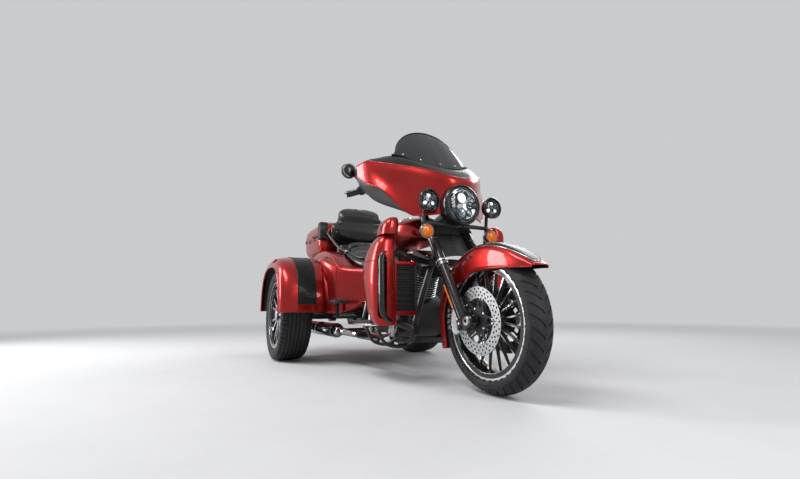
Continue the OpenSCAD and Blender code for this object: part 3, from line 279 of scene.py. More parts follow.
def block(name, low, high, body, finish, edge=0.004, steps=3):
    """Box with rounded edges between two corners."""
    lo, hi = np.minimum(low, high), np.maximum(low, high)
    c, h = (lo + hi) / 2, (hi - lo) / 2
    pts = [h * (sx, sy, sz) for sx in (-1, 1) for sy in (-1, 1) for sz in (-1, 1)]
    faces = [(0, 1, 3, 2), (4, 6, 7, 5), (0, 4, 5, 1), (2, 3, 7, 6), (0, 2, 6, 4), (1, 5, 7, 3)]
    return soften(piece(name, pts, faces, body, finish, at=c), edge, steps)


def facing(origin, normal, up=(0, 0, 1)):
    """4x4 whose Z looks along a normal."""
    z = Vector(normal).normalized()
    x = Vector(up).cross(z).normalized()
    y = z.cross(x)
    m = Matrix((x, y, z)).transposed().to_4x4()
    m.translation = Vector(origin)
    return m


def bolts(name, places, size, body, finish):
    """Domed bolt heads with a round socket at (point, normal) places, in one mesh."""
    pts, faces = [], []
    rings = [(1.0, 0.0), (1.0, 0.45), (0.86, 0.68), (0.5, 0.8), (0.46, 0.5)]
    n = 12
    for point, normal in places:
        m = facing(point, normal, (0, 0, 1) if abs(Vector(normal).normalized().z) < 0.9 else (1, 0, 0))
        base = len(pts)
        for r, z in rings:
            pts += [m @ Vector((r * size * math.cos(2 * math.pi * i / n),
                                r * size * math.sin(2 * math.pi * i / n), z * size)) for i in range(n)]
        faces += [tuple(base + i for i in f) for f in grid_faces(len(rings), n, wrap_cols=True)]
        faces.append(tuple(base + (len(rings) - 1) * n + i for i in range(n)))
    obj = piece(name, pts, faces, body, finish)
    return crisp(obj, 30)


def both(make):
    """Makes a piece on the right and on the left."""
    for side, word in SIDES:
        make(side, word)


# Finishes: shared effects as node groups

def feed(tree, socket, value):
    """Links a socket to another one, or sets its value."""
    if isinstance(value, bpy.types.NodeSocket):
        tree.links.new(value, socket)
    else:
        socket.default_value = value


def add(tree, kind, sockets=None, **props):
    """New node with its properties and sockets set."""
    n = tree.nodes.new(kind)
    for k, v in props.items():
        setattr(n, k, v)
    for k, v in (sockets or {}).items():
        feed(tree, n.inputs[k], v)
    return n


def effect(name, inputs, outputs):
    """Empty shader node group with named sockets."""
    g = bpy.data.node_groups.new(name, "ShaderNodeTree")
    for n, kind, value in inputs:
        g.interface.new_socket(name=n, in_out="INPUT",
                               socket_type="NodeSocket" + kind).default_value = value
    for n, kind in outputs:
        g.interface.new_socket(name=n, in_out="OUTPUT", socket_type="NodeSocket" + kind)
    return g, g.nodes.new("NodeGroupInput"), g.nodes.new("NodeGroupOutput")


def ramp(tree, value, stops):
    """Value put through stops of (place, level)."""
    n = add(tree, "ShaderNodeValToRGB", {"Fac": value})
    e = n.color_ramp.elements
    while len(e) < len(stops):
        e.new(0.5)
    for el, (at, v) in zip(e, stops):
        el.position = at
        el.color = (v, v, v, 1)
    return n.outputs["Color"]


def mixed(tree, fac, a, b):
    """Mix of two colours."""
    n = add(tree, "ShaderNodeMix", data_type="RGBA")
    for k, v in ((0, fac), (6, a), (7, b)):
        feed(tree, n.inputs[k], v)
    return n.outputs[2]


def sums(tree, op, a, b=0.5, c=0.5):
    """Result of one sum."""
    n = add(tree, "ShaderNodeMath", operation=op)
    for sock, v in zip(n.inputs, (a, b, c)):
        feed(tree, sock, v)
    return n.outputs[0]


def make_flake():
    """Glitter and clouds under a clear coat."""
    g, i, o = effect("metal flake",
                     [("Colour", "Color", (0.5, 0, 0, 1)), ("Deep", "Color", (0.2, 0, 0, 1)),
                      ("Flake Size", "Float", 900.0)], [("Colour", "Color"), ("Height", "Float")])
    at = add(g, "ShaderNodeTexCoord").outputs["Object"]
    cells = add(g, "ShaderNodeTexVoronoi", {"Vector": at, "Scale": i.outputs["Flake Size"]})
    cloud = add(g, "ShaderNodeTexNoise", {"Vector": at, "Scale": 2.5, "Detail": 2.0})
    bright = ramp(g, cells.outputs["Color"], [(0.35, 0.0), (0.95, 1.0)])
    soft = sums(g, "MULTIPLY_ADD", cloud.outputs["Fac"], 0.5, sums(g, "MULTIPLY", bright, 0.3))
    g.links.new(mixed(g, soft, i.outputs["Deep"], i.outputs["Colour"]), o.inputs["Colour"])
    g.links.new(bright, o.inputs["Height"])
    return g


def make_haze():
    """Uneven shine from handling."""
    g, i, o = effect("handling haze",
                     [("Roughness", "Float", 0.2), ("Spread", "Float", 0.1), ("Scale", "Float", 12.0)],
                     [("Roughness", "Float"), ("Mask", "Float")])
    at = add(g, "ShaderNodeTexCoord").outputs["Object"]
    a = add(g, "ShaderNodeTexNoise",
            {"Vector": at, "Scale": i.outputs["Scale"], "Detail": 6.0, "Roughness": 0.65})
    mask = ramp(g, a.outputs["Fac"], [(0.38, 0.0), (0.72, 1.0)])
    g.links.new(sums(g, "MULTIPLY_ADD", mask, i.outputs["Spread"], i.outputs["Roughness"]),
                o.inputs["Roughness"])
    g.links.new(mask, o.inputs["Mask"])
    return g


def make_dust():
    """Thin dust in patches."""
    g, i, o = effect("road dust",
                     [("Colour", "Color", (0, 0, 0, 1)), ("Dust", "Color", (0.2, 0.18, 0.16, 1)),
                      ("Amount", "Float", 0.3)], [("Colour", "Color"), ("Mask", "Float")])
    at = add(g, "ShaderNodeTexCoord").outputs["Object"]
    fine = add(g, "ShaderNodeTexNoise", {"Vector": at, "Scale": 38.0, "Detail": 8.0, "Roughness": 0.7})
    wide = add(g, "ShaderNodeTexNoise", {"Vector": at, "Scale": 5.0, "Detail": 3.0})
    both_n = sums(g, "MULTIPLY", fine.outputs["Fac"], wide.outputs["Fac"])
    mask = sums(g, "MULTIPLY", ramp(g, both_n, [(0.16, 0.0), (0.42, 1.0)]), i.outputs["Amount"])
    g.links.new(mixed(g, mask, i.outputs["Colour"], i.outputs["Dust"]), o.inputs["Colour"])
    g.links.new(mask, o.inputs["Mask"])
    return g


def make_grain():
    """Pores and creases."""
    g, i, o = effect("hide grain", [("Scale", "Float", 260.0), ("Crease", "Float", 0.4)],
                     [("Height", "Float"), ("Mask", "Float")])
    at = add(g, "ShaderNodeTexCoord").outputs["Object"]
    cells = add(g, "ShaderNodeTexVoronoi", {"Vector": at, "Scale": i.outputs["Scale"]},
                feature="DISTANCE_TO_EDGE")
    pores = ramp(g, cells.outputs["Distance"], [(0.0, 0.0), (0.18, 1.0)])
    fold = add(g, "ShaderNodeTexNoise", {"Vector": at, "Scale": 16.0, "Detail": 5.0, "Distortion": 1.2})
    creases = ramp(g, fold.outputs["Fac"], [(0.46, 1.0), (0.5, 0.0), (0.54, 1.0)])
    g.links.new(sums(g, "MULTIPLY_ADD", creases, i.outputs["Crease"], pores), o.inputs["Height"])
    g.links.new(pores, o.inputs["Mask"])
    return g


def make_turning():
    """Fine rings left by turning."""
    g, i, o = effect("tool lines", [("Lines", "Float", 900.0), ("Strength", "Float", 0.5)],
                     [("Height", "Float"), ("Mask", "Float")])
    at = add(g, "ShaderNodeTexCoord").outputs["Object"]
    xyz = add(g, "ShaderNodeSeparateXYZ", {"Vector": at})
    r = sums(g, "SQRT", sums(g, "ADD", sums(g, "MULTIPLY", xyz.outputs[0], xyz.outputs[0]),
                             sums(g, "MULTIPLY", xyz.outputs[2], xyz.outputs[2])))
    lines = add(g, "ShaderNodeTexNoise", {"Scale": i.outputs["Lines"], "W": r, "Detail": 3.0},
                noise_dimensions="1D")
    patch = add(g, "ShaderNodeTexNoise", {"Vector": at, "Scale": 9.0, "Detail": 3.0})
    g.links.new(sums(g, "MULTIPLY", lines.outputs["Fac"], i.outputs["Strength"]), o.inputs["Height"])
    g.links.new(sums(g, "MULTIPLY", lines.outputs["Fac"], patch.outputs["Fac"]), o.inputs["Mask"])
    return g


FLAKE, HAZE, DUST, GRAIN, TURNING = make_flake(), make_haze(), make_dust(), make_grain(), make_turning()


def finish_base(name, **sockets):
    """Material with a Principled BSDF whose constant sockets are set."""
    m = bpy.data.materials.new(name)
    m.use_nodes = True
    t = m.node_tree
    p = t.nodes["Principled BSDF"]
    for k, v in sockets.items():
        p.inputs[k.replace("_", " ")].default_value = v
    return m, t, p


def use(t, group, **inputs):
    """Outputs of a shared effect in a finish."""
    n = add(t, "ShaderNodeGroup", node_tree=group)
    for k, v in inputs.items():
        feed(t, n.inputs[k.replace("_", " ")], v)
    return n.outputs


def bump(t, p, height, strength, distance):
    """Fine relief from a height."""
    b = add(t, "ShaderNodeBump", {"Height": height, "Strength": strength, "Distance": distance})
    t.links.new(b.outputs["Normal"], p.inputs["Normal"])


def rgb(r, g, b):
    return (r, g, b, 1.0)


def painted(name, colour, deep, metallic, rough, coat=0.6, shine=0.3):
    """Paint with flakes under a clear coat."""
    m, t, p = finish_base(name, Metallic=metallic, Coat_Weight=coat, Coat_Roughness=0.03, Coat_IOR=1.45,
                          Specular_IOR_Level=shine)
    f = use(t, FLAKE, Colour=colour, Deep=deep, Flake_Size=1400.0)
    d = use(t, DUST, Colour=f["Colour"], Dust=rgb(0.30, 0.22, 0.20), Amount=0.06)
    t.links.new(d["Colour"], p.inputs["Base Color"])
    t.links.new(use(t, HAZE, Roughness=rough, Spread=0.06, Scale=6.0)["Roughness"], p.inputs["Roughness"])
    bump(t, p, f["Height"], 0.06, 0.0002)
    return m


def moulded(name, colour, rough, grain, strength, spread=0.12, dust=0.15, coat=0.0):
    """Grained plastic, rubber or coating."""
    m, t, p = finish_base(name, Coat_Weight=coat, Coat_Roughness=0.06, Specular_IOR_Level=0.35)
    d = use(t, DUST, Colour=colour, Dust=rgb(0.16, 0.15, 0.14), Amount=dust)
    t.links.new(d["Colour"], p.inputs["Base Color"])
    t.links.new(use(t, HAZE, Roughness=rough, Spread=spread, Scale=18.0)["Roughness"],
                p.inputs["Roughness"])
    bump(t, p, use(t, GRAIN, Scale=grain, Crease=0.0)["Height"], strength, 0.0006)
    return m


def metal(name, colour, rough, lines, strength, spread=0.1, dust=0.1):
    """Metal with tool lines."""
    m, t, p = finish_base(name, Metallic=1.0)
    tl = use(t, TURNING, Lines=lines, Strength=1.0)
    d = use(t, DUST, Colour=colour, Dust=rgb(0.2, 0.19, 0.18), Amount=dust)
    t.links.new(d["Colour"], p.inputs["Base Color"])
    t.links.new(use(t, HAZE, Roughness=rough, Spread=spread, Scale=22.0)["Roughness"],
                p.inputs["Roughness"])
    bump(t, p, tl["Height"], strength, 0.0003)
    return m


def hide(name, colour, worn):
    """Seat hide, paler where it is worn."""
    m, t, p = finish_base(name, Specular_IOR_Level=0.25, Coat_Weight=0.6, Coat_Roughness=0.19)
    h = use(t, HAZE, Roughness=0.36, Spread=0.16, Scale=7.0)
    grain = use(t, GRAIN, Scale=330.0, Crease=0.35)
    t.links.new(mixed(t, h["Mask"], colour, worn), p.inputs["Base Color"])
    t.links.new(h["Roughness"], p.inputs["Roughness"])
    bump(t, p, grain["Height"], 0.35, 0.0007)
    return m


def lens(name, colour, rough, clear=1.0):
    """Clear or tinted glass."""
    m, t, p = finish_base(name, Transmission_Weight=clear, IOR=1.5, Metallic=0.0)
    t.links.new(use(t, DUST, Colour=colour, Dust=rgb(0.5, 0.48, 0.45), Amount=0.05)["Colour"],
                p.inputs["Base Color"])
    t.links.new(use(t, HAZE, Roughness=rough, Spread=0.05, Scale=14.0)["Roughness"], p.inputs["Roughness"])
    return m


def tyre_rubber(name):
    """Dusty black rubber."""
    m, t, p = finish_base(name, Specular_IOR_Level=0.32)
    d = use(t, DUST, Colour=rgb(0.010, 0.010, 0.012), Dust=rgb(0.050, 0.050, 0.052), Amount=0.45)
    t.links.new(d["Colour"], p.inputs["Base Color"])
    t.links.new(use(t, HAZE, Roughness=0.52, Spread=0.25, Scale=14.0)["Roughness"], p.inputs["Roughness"])
    bump(t, p, use(t, GRAIN, Scale=700.0, Crease=0.3)["Height"], 0.18, 0.0006)
    return m


RED = painted("candy red paint", rgb(0.54, 0.010, 0.008), rgb(0.25, 0.003, 0.003), 0.8, 0.27)
BLACK = painted("gloss black paint", rgb(0.010, 0.010, 0.012), rgb(0.004, 0.004, 0.005), 0.0, 0.2, 0.45)
PANEL = painted("black panel paint", rgb(0.008, 0.008, 0.009), rgb(0.003, 0.003, 0.004), 0.0, 0.34, 0.08,
                0.16)
SATIN = moulded("satin charcoal plastic", rgb(0.055, 0.058, 0.062), 0.42, 900.0, 0.15)
PLASTIC = moulded("black moulded plastic", rgb(0.016, 0.016, 0.018), 0.45, 1200.0, 0.2)
POWDER = moulded("black powder coat", rgb(0.014, 0.014, 0.015), 0.34, 1600.0, 0.25, coat=0.2)
ENGINE = moulded("wrinkle black castings", rgb(0.020, 0.020, 0.022), 0.48, 520.0, 0.5, coat=0.1)
PAD = moulded("black rubber", rgb(0.020, 0.020, 0.021), 0.62, 800.0, 0.25, dust=0.35)
TYRE = tyre_rubber("tyre rubber")
HIDE = hide("black seat hide", rgb(0.008, 0.008, 0.008), rgb(0.019, 0.018, 0.018))
PIPING = hide("seat piping", rgb(0.020, 0.019, 0.019), rgb(0.045, 0.043, 0.042))
CHROME = metal("polished chrome", rgb(0.80, 0.81, 0.83), 0.05, 300.0, 0.01, 0.08)
DARK_CHROME = metal("smoked chrome", rgb(0.20, 0.20, 0.22), 0.14, 400.0, 0.03, 0.12)
MACHINED = metal("machined aluminium", rgb(0.70, 0.71, 0.72), 0.22, 1500.0, 0.12, 0.12)
STEEL = metal("ground disc steel", rgb(0.40, 0.41, 0.42), 0.34, 2600.0, 0.2, 0.10, 0.02)
PIPE = metal("heated exhaust steel", rgb(0.42, 0.40, 0.39), 0.16, 200.0, 0.03, 0.2, 0.3)
SMOKED = lens("smoked screen", rgb(0.030, 0.034, 0.040), 0.02)
CLEAR = lens("clear lens", rgb(0.96, 0.97, 0.98), 0.01)
AMBER = lens("amber lens", rgb(0.86, 0.27, 0.01), 0.04, 0.92)
RUBY = lens("red lens", rgb(0.55, 0.01, 0.01), 0.08, 0.5)
MARKER = moulded("orange reflector", rgb(0.85, 0.20, 0.03), 0.18, 900.0, 0.15, spread=0.05, dust=0.05,
                 coat=0.6)
LINER = moulded("grey liner", rgb(0.05, 0.05, 0.052), 0.85, 380.0, 0.6)


def lit(name, colour, power):
    """Surface that gives light."""
    m, t, p = finish_base(name, Emission_Strength=power, Roughness=0.3)
    d = use(t, DUST, Colour=colour, Dust=rgb(0.8, 0.85, 0.9), Amount=0.2)
    t.links.new(d["Colour"], p.inputs["Emission Color"])
    t.links.new(d["Colour"], p.inputs["Base Color"])
    return m


LED = lit("white lamp cells", rgb(0.9, 0.95, 1.0), 1.1)
GLOW = lit("amber lamp cells", rgb(1.0, 0.45, 0.05), 0.25)


def netted(name, colour, hole):
    """Punched grille: holes darken the sheet in a regular net."""
    m, t, p = finish_base(name, Roughness=0.5)
    at = add(t, "ShaderNodeTexCoord").outputs["Object"]
    cells = add(t, "ShaderNodeTexVoronoi", {"Vector": at, "Scale": 420.0, "Randomness": 0.0})
    mask = ramp(t, cells.outputs["Distance"], [(0.30, 0.0), (0.42, 1.0)])
    t.links.new(mixed(t, mask, hole, colour), p.inputs["Base Color"])
    bump(t, p, mask, 0.5, 0.001)
    return m


REFLECTOR = metal("lamp reflector", rgb(0.86, 0.88, 0.90), 0.04, 60.0, 0.25, 0.04, 0.02)
OPTIC = lens("dark lamp optic", rgb(0.55, 0.60, 0.66), 0.02, 0.85)
MIRROR = metal("mirror glass", rgb(0.88, 0.90, 0.92), 0.01, 40.0, 0.0, 0.02, 0.03)
GRILLE = netted("speaker net", rgb(0.040, 0.040, 0.043), rgb(0.004, 0.004, 0.004))
DIAL = moulded("dial face", rgb(0.012, 0.012, 0.014), 0.5, 1500.0, 0.05, coat=0.6)
SCREEN = moulded("blank screen", rgb(0.006, 0.007, 0.009), 0.08, 1500.0, 0.01, spread=0.06, dust=0.05,
                 coat=1.0)

# Finish of every solid
CARRIED = {POWDER: ["frame", "fork_clamps", "lamp_bar", "swingarm", "rear_axle", "pack_rack",
                    "hand_controls"],
           BLACK: ["fork_sliders", "fork_tubes", "engine_guard", "passing_lamps", "headlamp", "mirrors",
                   "turn_signals"], DARK_CHROME: ["handlebar", "front_calipers"],
           ENGINE: ["engine_cases", "cylinders", "air_cleaner"], PIPE: ["exhaust"],
           RED: ["fuel_tank", "lower_fairing_right", "lower_fairing_left", "trunk_door", "trunk_body",
                 "pack_base", "pack_lid", "front_fender", "fairing_outer", "rear_fender_right",
                 "rear_fender_left"],
           PLASTIC: ["radiators", "footboards", "passenger_boards", "speaker_pods", "fairing_cap"],
           SATIN: ["fairing_inner"], CHROME: ["front_axle"], STEEL: ["front_discs"], PAD: ["drive_belt"],
           RUBY: ["tail_lamps"], SMOKED: ["windshield"],
           TYRE: ["front_tyre", "rear_tyre_right", "rear_tyre_left"],
           MACHINED: ["front_rim", "rear_rim_right", "rear_rim_left"], HIDE: ["seat", "backrest"],}
for finish, names in CARRIED.items():
    for n in names:
        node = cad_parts[n]
        node.data.materials.clear()
        node.data.materials.append(finish)


BACKDROP = rgb(0.80, 0.81, 0.82)
BACKDROP_LEVEL = 0.74
FOCAL, PHOTO_WIDTH, SENSOR = 409.8, 800, 36.0
EYE = (FRONT_X + 1.4779, -1.2344, 0.3866)
EYE_TURNS = (27.41, 9.17, -0.34)


def plainly_seen(tree):
    """1 for what the eye sees straight, in a mirror or through glass, 0 for light that falls on things."""
    rays = add(tree, "ShaderNodeLightPath").outputs
    direct = sums(tree, "MAXIMUM", rays["Is Camera Ray"], rays["Is Glossy Ray"])
    return sums(tree, "MAXIMUM", direct, rays["Is Transmission Ray"])


def stage():
    """Floor, backdrop, light and camera."""
    floor = bpy.data.objects.new("floor", bpy.data.meshes.new("floor"))
    floor.data.from_pydata([(-30, -30, 0), (30, -30, 0), (30, 30, 0), (-30, 30, 0)], [], [(0, 1, 2, 3)])
    scene.collection.objects.link(floor)
    m, t, p = finish_base("pale floor", Roughness=0.7, Specular_IOR_Level=0.1)
    t.links.new(use(t, DUST, Colour=rgb(0.66, 0.66, 0.67), Dust=rgb(0.60, 0.60, 0.61),
                    Amount=0.4)["Colour"], p.inputs["Base Color"])
    away = add(t, "ShaderNodeVectorMath", {0: add(t, "ShaderNodeTexCoord").outputs["Object"]},
               operation="LENGTH")
    far = ramp(t, sums(t, "MULTIPLY", away.outputs["Value"], 0.05), [(0.11, 0.0), (0.42, 1.0)])
    seen = plainly_seen(t)
    glow = add(t, "ShaderNodeEmission", {"Color": BACKDROP, "Strength": BACKDROP_LEVEL})
    fade = add(t, "ShaderNodeMixShader",
               {0: sums(t, "MULTIPLY", far, seen), 1: p.outputs[0], 2: glow.outputs[0]})
    t.links.new(fade.outputs[0], t.nodes["Material Output"].inputs["Surface"])
    floor.data.materials.append(m)
    world = scene.world or bpy.data.worlds.new("studio")
    scene.world = world
    world.use_nodes = True
    t = world.node_tree
    t.nodes.clear()
    out = add(t, "ShaderNodeOutputWorld")
    seen = plainly_seen(t)
    soft = add(t, "ShaderNodeBackground", {"Color": rgb(0.92, 0.96, 1.0), "Strength": 0.32})
    back = add(t, "ShaderNodeBackground", {"Color": BACKDROP, "Strength": BACKDROP_LEVEL})
    mix = add(t, "ShaderNodeMixShader", {0: seen, 1: soft.outputs[0], 2: back.outputs[0]})
    t.links.new(mix.outputs[0], out.inputs["Surface"])

    def softbox(name, at, target, size, power):
        d = bpy.data.lights.new(name, "AREA")
        d.shape, d.size, d.size_y, d.energy = "RECTANGLE", size[0], size[1], power
        o = bpy.data.objects.new(name, d)
        scene.collection.objects.link(o)
        o.location = at
        o.rotation_euler = (Vector(target) - Vector(at)).to_track_quat("-Z", "Y").to_euler()

    softbox("key light", (0.9, -2.8, 4.4), (0.1, 0, 0.6), (3.2, 1.2), 140)
    softbox("side light", (-2.6, -4.0, 2.2), (-0.2, 0, 0.6), (1.2, 3.0), 150)
    softbox("front light", (4.6, 0.8, 2.6), (0.6, 0, 0.7), (1.0, 2.6), 70)
    softbox("far light", (-1.5, 4.0, 3.6), (0, 0, 0.7), (4.0, 1.4), 110)
    cam = bpy.data.cameras.new("camera")
    cam.sensor_width, cam.lens, cam.clip_end = SENSOR, SENSOR * FOCAL / PHOTO_WIDTH, 200
    yaw, pitch, roll = (math.radians(v) for v in EYE_TURNS)
    look = Vector((-math.cos(yaw) * math.cos(pitch), math.sin(yaw) * math.cos(pitch), math.sin(pitch)))
    right = look.cross(Vector((0, 0, 1))).normalized()
    up = right.cross(look)
    r2 = right * math.cos(roll) + up * math.sin(roll)
    u2 = up * math.cos(roll) - right * math.sin(roll)
    eye = Matrix((r2, u2, -look)).transposed().to_4x4()
    eye.translation = EYE
    obj = bpy.data.objects.new("camera", cam)
    scene.collection.objects.link(obj)
    obj.matrix_world = eye
    scene.camera = obj


def mm(*v):
    """Millimetres from the front axle's place along X, the middle plane and the ground, in metres."""
    return np.array([FRONT_X + v[0] / 1000, v[1] / 1000, v[2] / 1000])


def on_fork(x, y, s):
    """Point beside the right or left fork leg: x ahead of it, y across, s up the leg, in metres."""
    c, n = math.cos(FORK_LEAN), math.sin(FORK_LEAN)
    return np.array([FRONT_X - 0.055 + x * c - s * n, y, FRONT_Z + x * n + s * c])


# Wheels

def tread(name, section, grip, pitches, slant, body, at, depth=0.005):
    """Tyre whose section is (across, radius) points. Cross grooves lie between two distances in grip."""
    share = [0.0, 0.42, 0.47, 0.62, 0.67]
    across = np.asarray(section, float)
    cols = [(k + s) / pitches * 2 * math.pi for k in range(pitches) for s in share]
    cut = [0, 0, 1, 1, 0] * pitches
    pts = []
    for y, r in across:
        reach = np.clip(abs(y) / grip[1], 0, 1.2)
        deep = depth * (1 if grip[0] <= abs(y) <= grip[1] else 0)
        for a, c in zip(cols, cut):
            q = r - deep * c
            b = a + slant * reach
            pts.append((q * math.cos(b), y, q * math.sin(b)))
    obj = piece(name, pts, grid_faces(len(across), len(cols), False, True), body, TYRE, at)
    upright(obj)
    return crisp(obj, 28)


def front_wheel():
    at = (FRONT_X, 0, FRONT_Z)
    half = [(0, .3195), (.004, .3194), (.009, .3190), (.0095, .3190), (.018, .3178), (.028, .3150),
            (.038, .3104), (.047, .3044), (.054, .2972), (.0565, .2940), (.057, .2932), (.0604, .2882),
            (.0626, .2868), (.0632, .2838), (.0622, .2822), (.0630, .2780), (.0634, .2712), (.0618, .2646),
            (.0598, .2608), (.0556, .2588), (.0500, .2584), (.0440, .2440)]
    section = [(-y, r) for y, r in half[:0:-1]] + half
    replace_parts(tread("front_tyre_tread", section, (0.0095, 0.0565), 40, 0.17, "front_wheel", at),
                "front_tyre")
    rim = [(.2275, -.050), (.2545, -.050), (.2545, -.044), (.2405, -.0425), (.2405, -.026), (.2255, -.016),
           (.2255, .016), (.2405, .026), (.2405, .0425), (.2545, .044), (.2545, .050), (.2275, .050),
           (.2275, .038), (.2175, .020), (.2175, -.020), (.2275, -.038)]
    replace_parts(turned("front_rim_barrel", rim, at, "front_wheel", BLACK, closed=True), "front_rim")
    for side, word in SIDES:
        turned(f"front_rim_lip_{word}",
               [(.2455, side * .0500), (.2470, side * .0514), (.2545, side * .0516), (.2572, side * .0508),
                (.2576, side * .0490)], at, "front_wheel", MACHINED)
        turned(f"front_rim_line_{word}",
               [(.2262, side * .0385), (.2282, side * .0400), (.2282, side * .0480), (.2262, side * .0480)],
               at, "front_wheel", MACHINED, closed=True)
        turned(f"front_hub_cap_{word}",
               [(.013, side * .0775), (.036, side * .0775), (.0385, side * .074), (.0385, side * .040),
                (.046, side * .026), (.046, 0)], at, "front_wheel", BLACK)
    spokes("front_spokes", 10, 0.040, 0.2200, math.radians(8.57), (.0095, .0074), (.013, .008), at,
           "front_wheel", PLASTIC)
    for side, word in SIDES:
        y = side * DISC_Y
        place = facing(np.array(at) + (0, y, 0), (0, side, 0))
        holes = [circle(.0047, 14, *polar(r, math.radians(12 * i + step)))
                 for r, step in ((.1405, 0), (.1265, 6), (.1125, 0)) for i in range(30)]
        # The disc's side walls, in its drilled holes and round its edges, take black plastic instead of
        # steel: painted shade.
        ring = slab(f"front_disc_{word}", [circle(.150, 120), circle(.0985, 96)] + holes, .005,
                    "front_wheel", STEEL, place, 0.0, PLASTIC)
        if side < 0:
            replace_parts(ring, "front_discs")
        # Black ring just behind the disc, seen only through the drilled holes: a painted shade sheet where
        # there is open space, not a part.
        turned(f"front_disc_hole_shade_{word}",
               [(.1015, y - side * .0040), (.1480, y - side * .0040), (.1480, y - side * .0028),
                (.1015, y - side * .0028)], at, "front_wheel", PLASTIC, closed=True)
        arm = ((-.20, .0985), (-.085, .1035), (.085, .1035), (.20, .0985), (.30, .066), (.628, .058),
               (.956, .066))
        window = ((-.13, .088), (.13, .088), (.20, .062), (-.20, .062))
        fifths = [2 * math.pi * k / 5 for k in range(5)]
        star = [polar(r, a + da) for a in fifths for da, r in arm]
        windows = [[polar(r, a + da) for da, r in window] for a in fifths]
        slab(f"front_disc_carrier_{word}", [star, circle(.018, 40)] + windows, .006, "front_wheel", PLASTIC,
             place @ Matrix.Translation((0, 0, .0012)), .0012)
        places = [polar(.100, a + d) for a in fifths for d in (-.09, .09)]
        places += [polar(.052, a + .63) for a in fifths]
        spots = [(np.array(at) + (x, y + side * .004, z), (0, side, 0)) for x, z in places]
        bolts(f"front_disc_bolts_{word}", spots, .0052, "front_wheel", CHROME)


def spokes(name, count, r0, r1, spread, width, depth, at, body, finish, lean=0.0):
    """Pairs of cast spokes with machined faces. Width and depth are (hub, rim), lean shifts the rim end."""
    pts, faces, plain = [], [], []
    steps = 6
    for i in range(count):
        for s in (-1, 1):
            base = len(pts)
            a0 = 2 * math.pi * i / count + s * spread * 0.5
            a1 = 2 * math.pi * i / count + s * spread
            p0 = np.array([r0 * math.cos(a0), r0 * math.sin(a0)])
            p1 = np.array([r1 * math.cos(a1), r1 * math.sin(a1)])
            d = (p1 - p0) / np.linalg.norm(p1 - p0)
            n = np.array([-d[1], d[0]])
            for k in range(steps + 1):
                t = k / steps
                w = width[0] + (width[1] - width[0]) * t + 0.004 * max(0, t - .85) / .15
                h = depth[0] + (depth[1] - depth[0]) * t
                c = p0 + (p1 - p0) * t
                for u, v in ((-.5, -.75), (-.38, -1), (.38, -1), (.5, -.75), (.5, .75), (.38, 1), (-.38, 1),
                             (-.5, .75)):
                    q = c + n * (u * w)
                    pts.append((q[0], v * h + lean * t, q[1]))
            f = grid_faces(steps + 1, 8, wrap_cols=True)
            faces += [tuple(base + j for j in q) for q in f]
            plain += [1 if k % 8 in (1, 5) else 0 for k in range(len(f))]
    obj = piece(name, pts, faces, body, [finish, MACHINED], at)
    for poly, k in zip(obj.data.polygons, plain):
        poly.material_index = k
    upright(obj)
    return crisp(obj, 30)


def rear_wheels():
    def one(side, word):
        at = (REAR_X, side * REAR_Y, REAR_Z)
        body = f"rear_wheel_{word}"
        half = [(0, .3255), (.008, .3254), (.0085, .3180), (.0175, .3180), (.018, .3250), (.034, .3243),
                (.0345, .3172), (.0435, .3172), (.044, .3236), (.060, .3222), (.0605, .3150),
                (.0695, .3142), (.070, .3210), (.0775, .3196), (.078, .3194), (.090, .3160), (.099, .3105),
                (.1005, .3090), (.101, .3080), (.1055, .2985), (.1072, .2860), (.1068, .2720),
                (.1035, .2580), (.1030, .2570), (.1010, .2545), (.0960, .2440), (.0900, .2360),
                (.0880, .2300)]
        section = [(-y, r) for y, r in half[:0:-1]] + half
        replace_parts(tread(f"rear_tyre_tread_{word}", section, (0.078, 0.1005), 64, 0.05, body, at,
                          depth=.006), f"rear_tyre_{word}")
        k, b = .086, .2285
        rim = [(b - .014, -k - .008), (b + .012, -k - .008), (b + .012, -k - .002), (b - .001, -k - .001),
               (b - .001, -k + .016), (b - .016, -k + .026), (b - .016, k - .026), (b - .001, k - .016),
               (b - .001, k + .001), (b + .012, k + .002), (b + .012, k + .008), (b - .014, k + .008),
               (b - .014, k - .004), (b - .024, k - .022), (b - .024, -k + .022), (b - .014, -k + .004)]
        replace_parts(turned(f"rear_rim_barrel_{word}", rim, at, body, BLACK, closed=True),
                    f"rear_rim_{word}")
        y = side * (k + .008)
        turned(f"rear_rim_lip_{word}",
               [(b + .0010, y - side * .002), (b + .0018, y + side * .0008), (b + .0095, y + side * .0014),
                (b + .0125, y), (b + .0125, y - side * .004)], at, body, MACHINED)
        turned(f"rear_rim_line_{word}",
               [(b - .0165, y - side * .012), (b - .0142, y - side * .010), (b - .0142, y - side * .005),
                (b - .0165, y - side * .005)], at, body, MACHINED, closed=True)
        spokes(f"rear_spokes_{word}", 7, .058, b - .020, math.radians(11), (.030, .017), (.015, .012),
               (at[0], at[1] + side * .052, at[2]), body, BLACK, side * .012)
        turned(f"rear_hub_{word}",
               [(.0225, side * .010), (.062, side * .010), (.064, side * .050), (.062, side * .064),
                (.040, side * .070), (.038, side * .082), (.0225, side * .084)], at, body, BLACK)
        turned(f"rear_hub_cap_{word}",
               [(.0, side * .092), (.016, side * .0915), (.026, side * .089), (.030, side * .084),
                (.030, side * .080)], at, body, MACHINED, steps=48)
        places = [polar(.051, 2 * math.pi * i / 5) for i in range(5)]
        spots = [(np.array(at) + (x, side * .067, z), (0, side, 0)) for x, z in places]
        bolts(f"rear_wheel_nuts_{word}", spots, .0095, body, CHROME)
    both(one)


# Front fender: rows round the wheel, in millimetres from the axle.
# Columns: crown x, crown z, edge x, edge z, share of the width

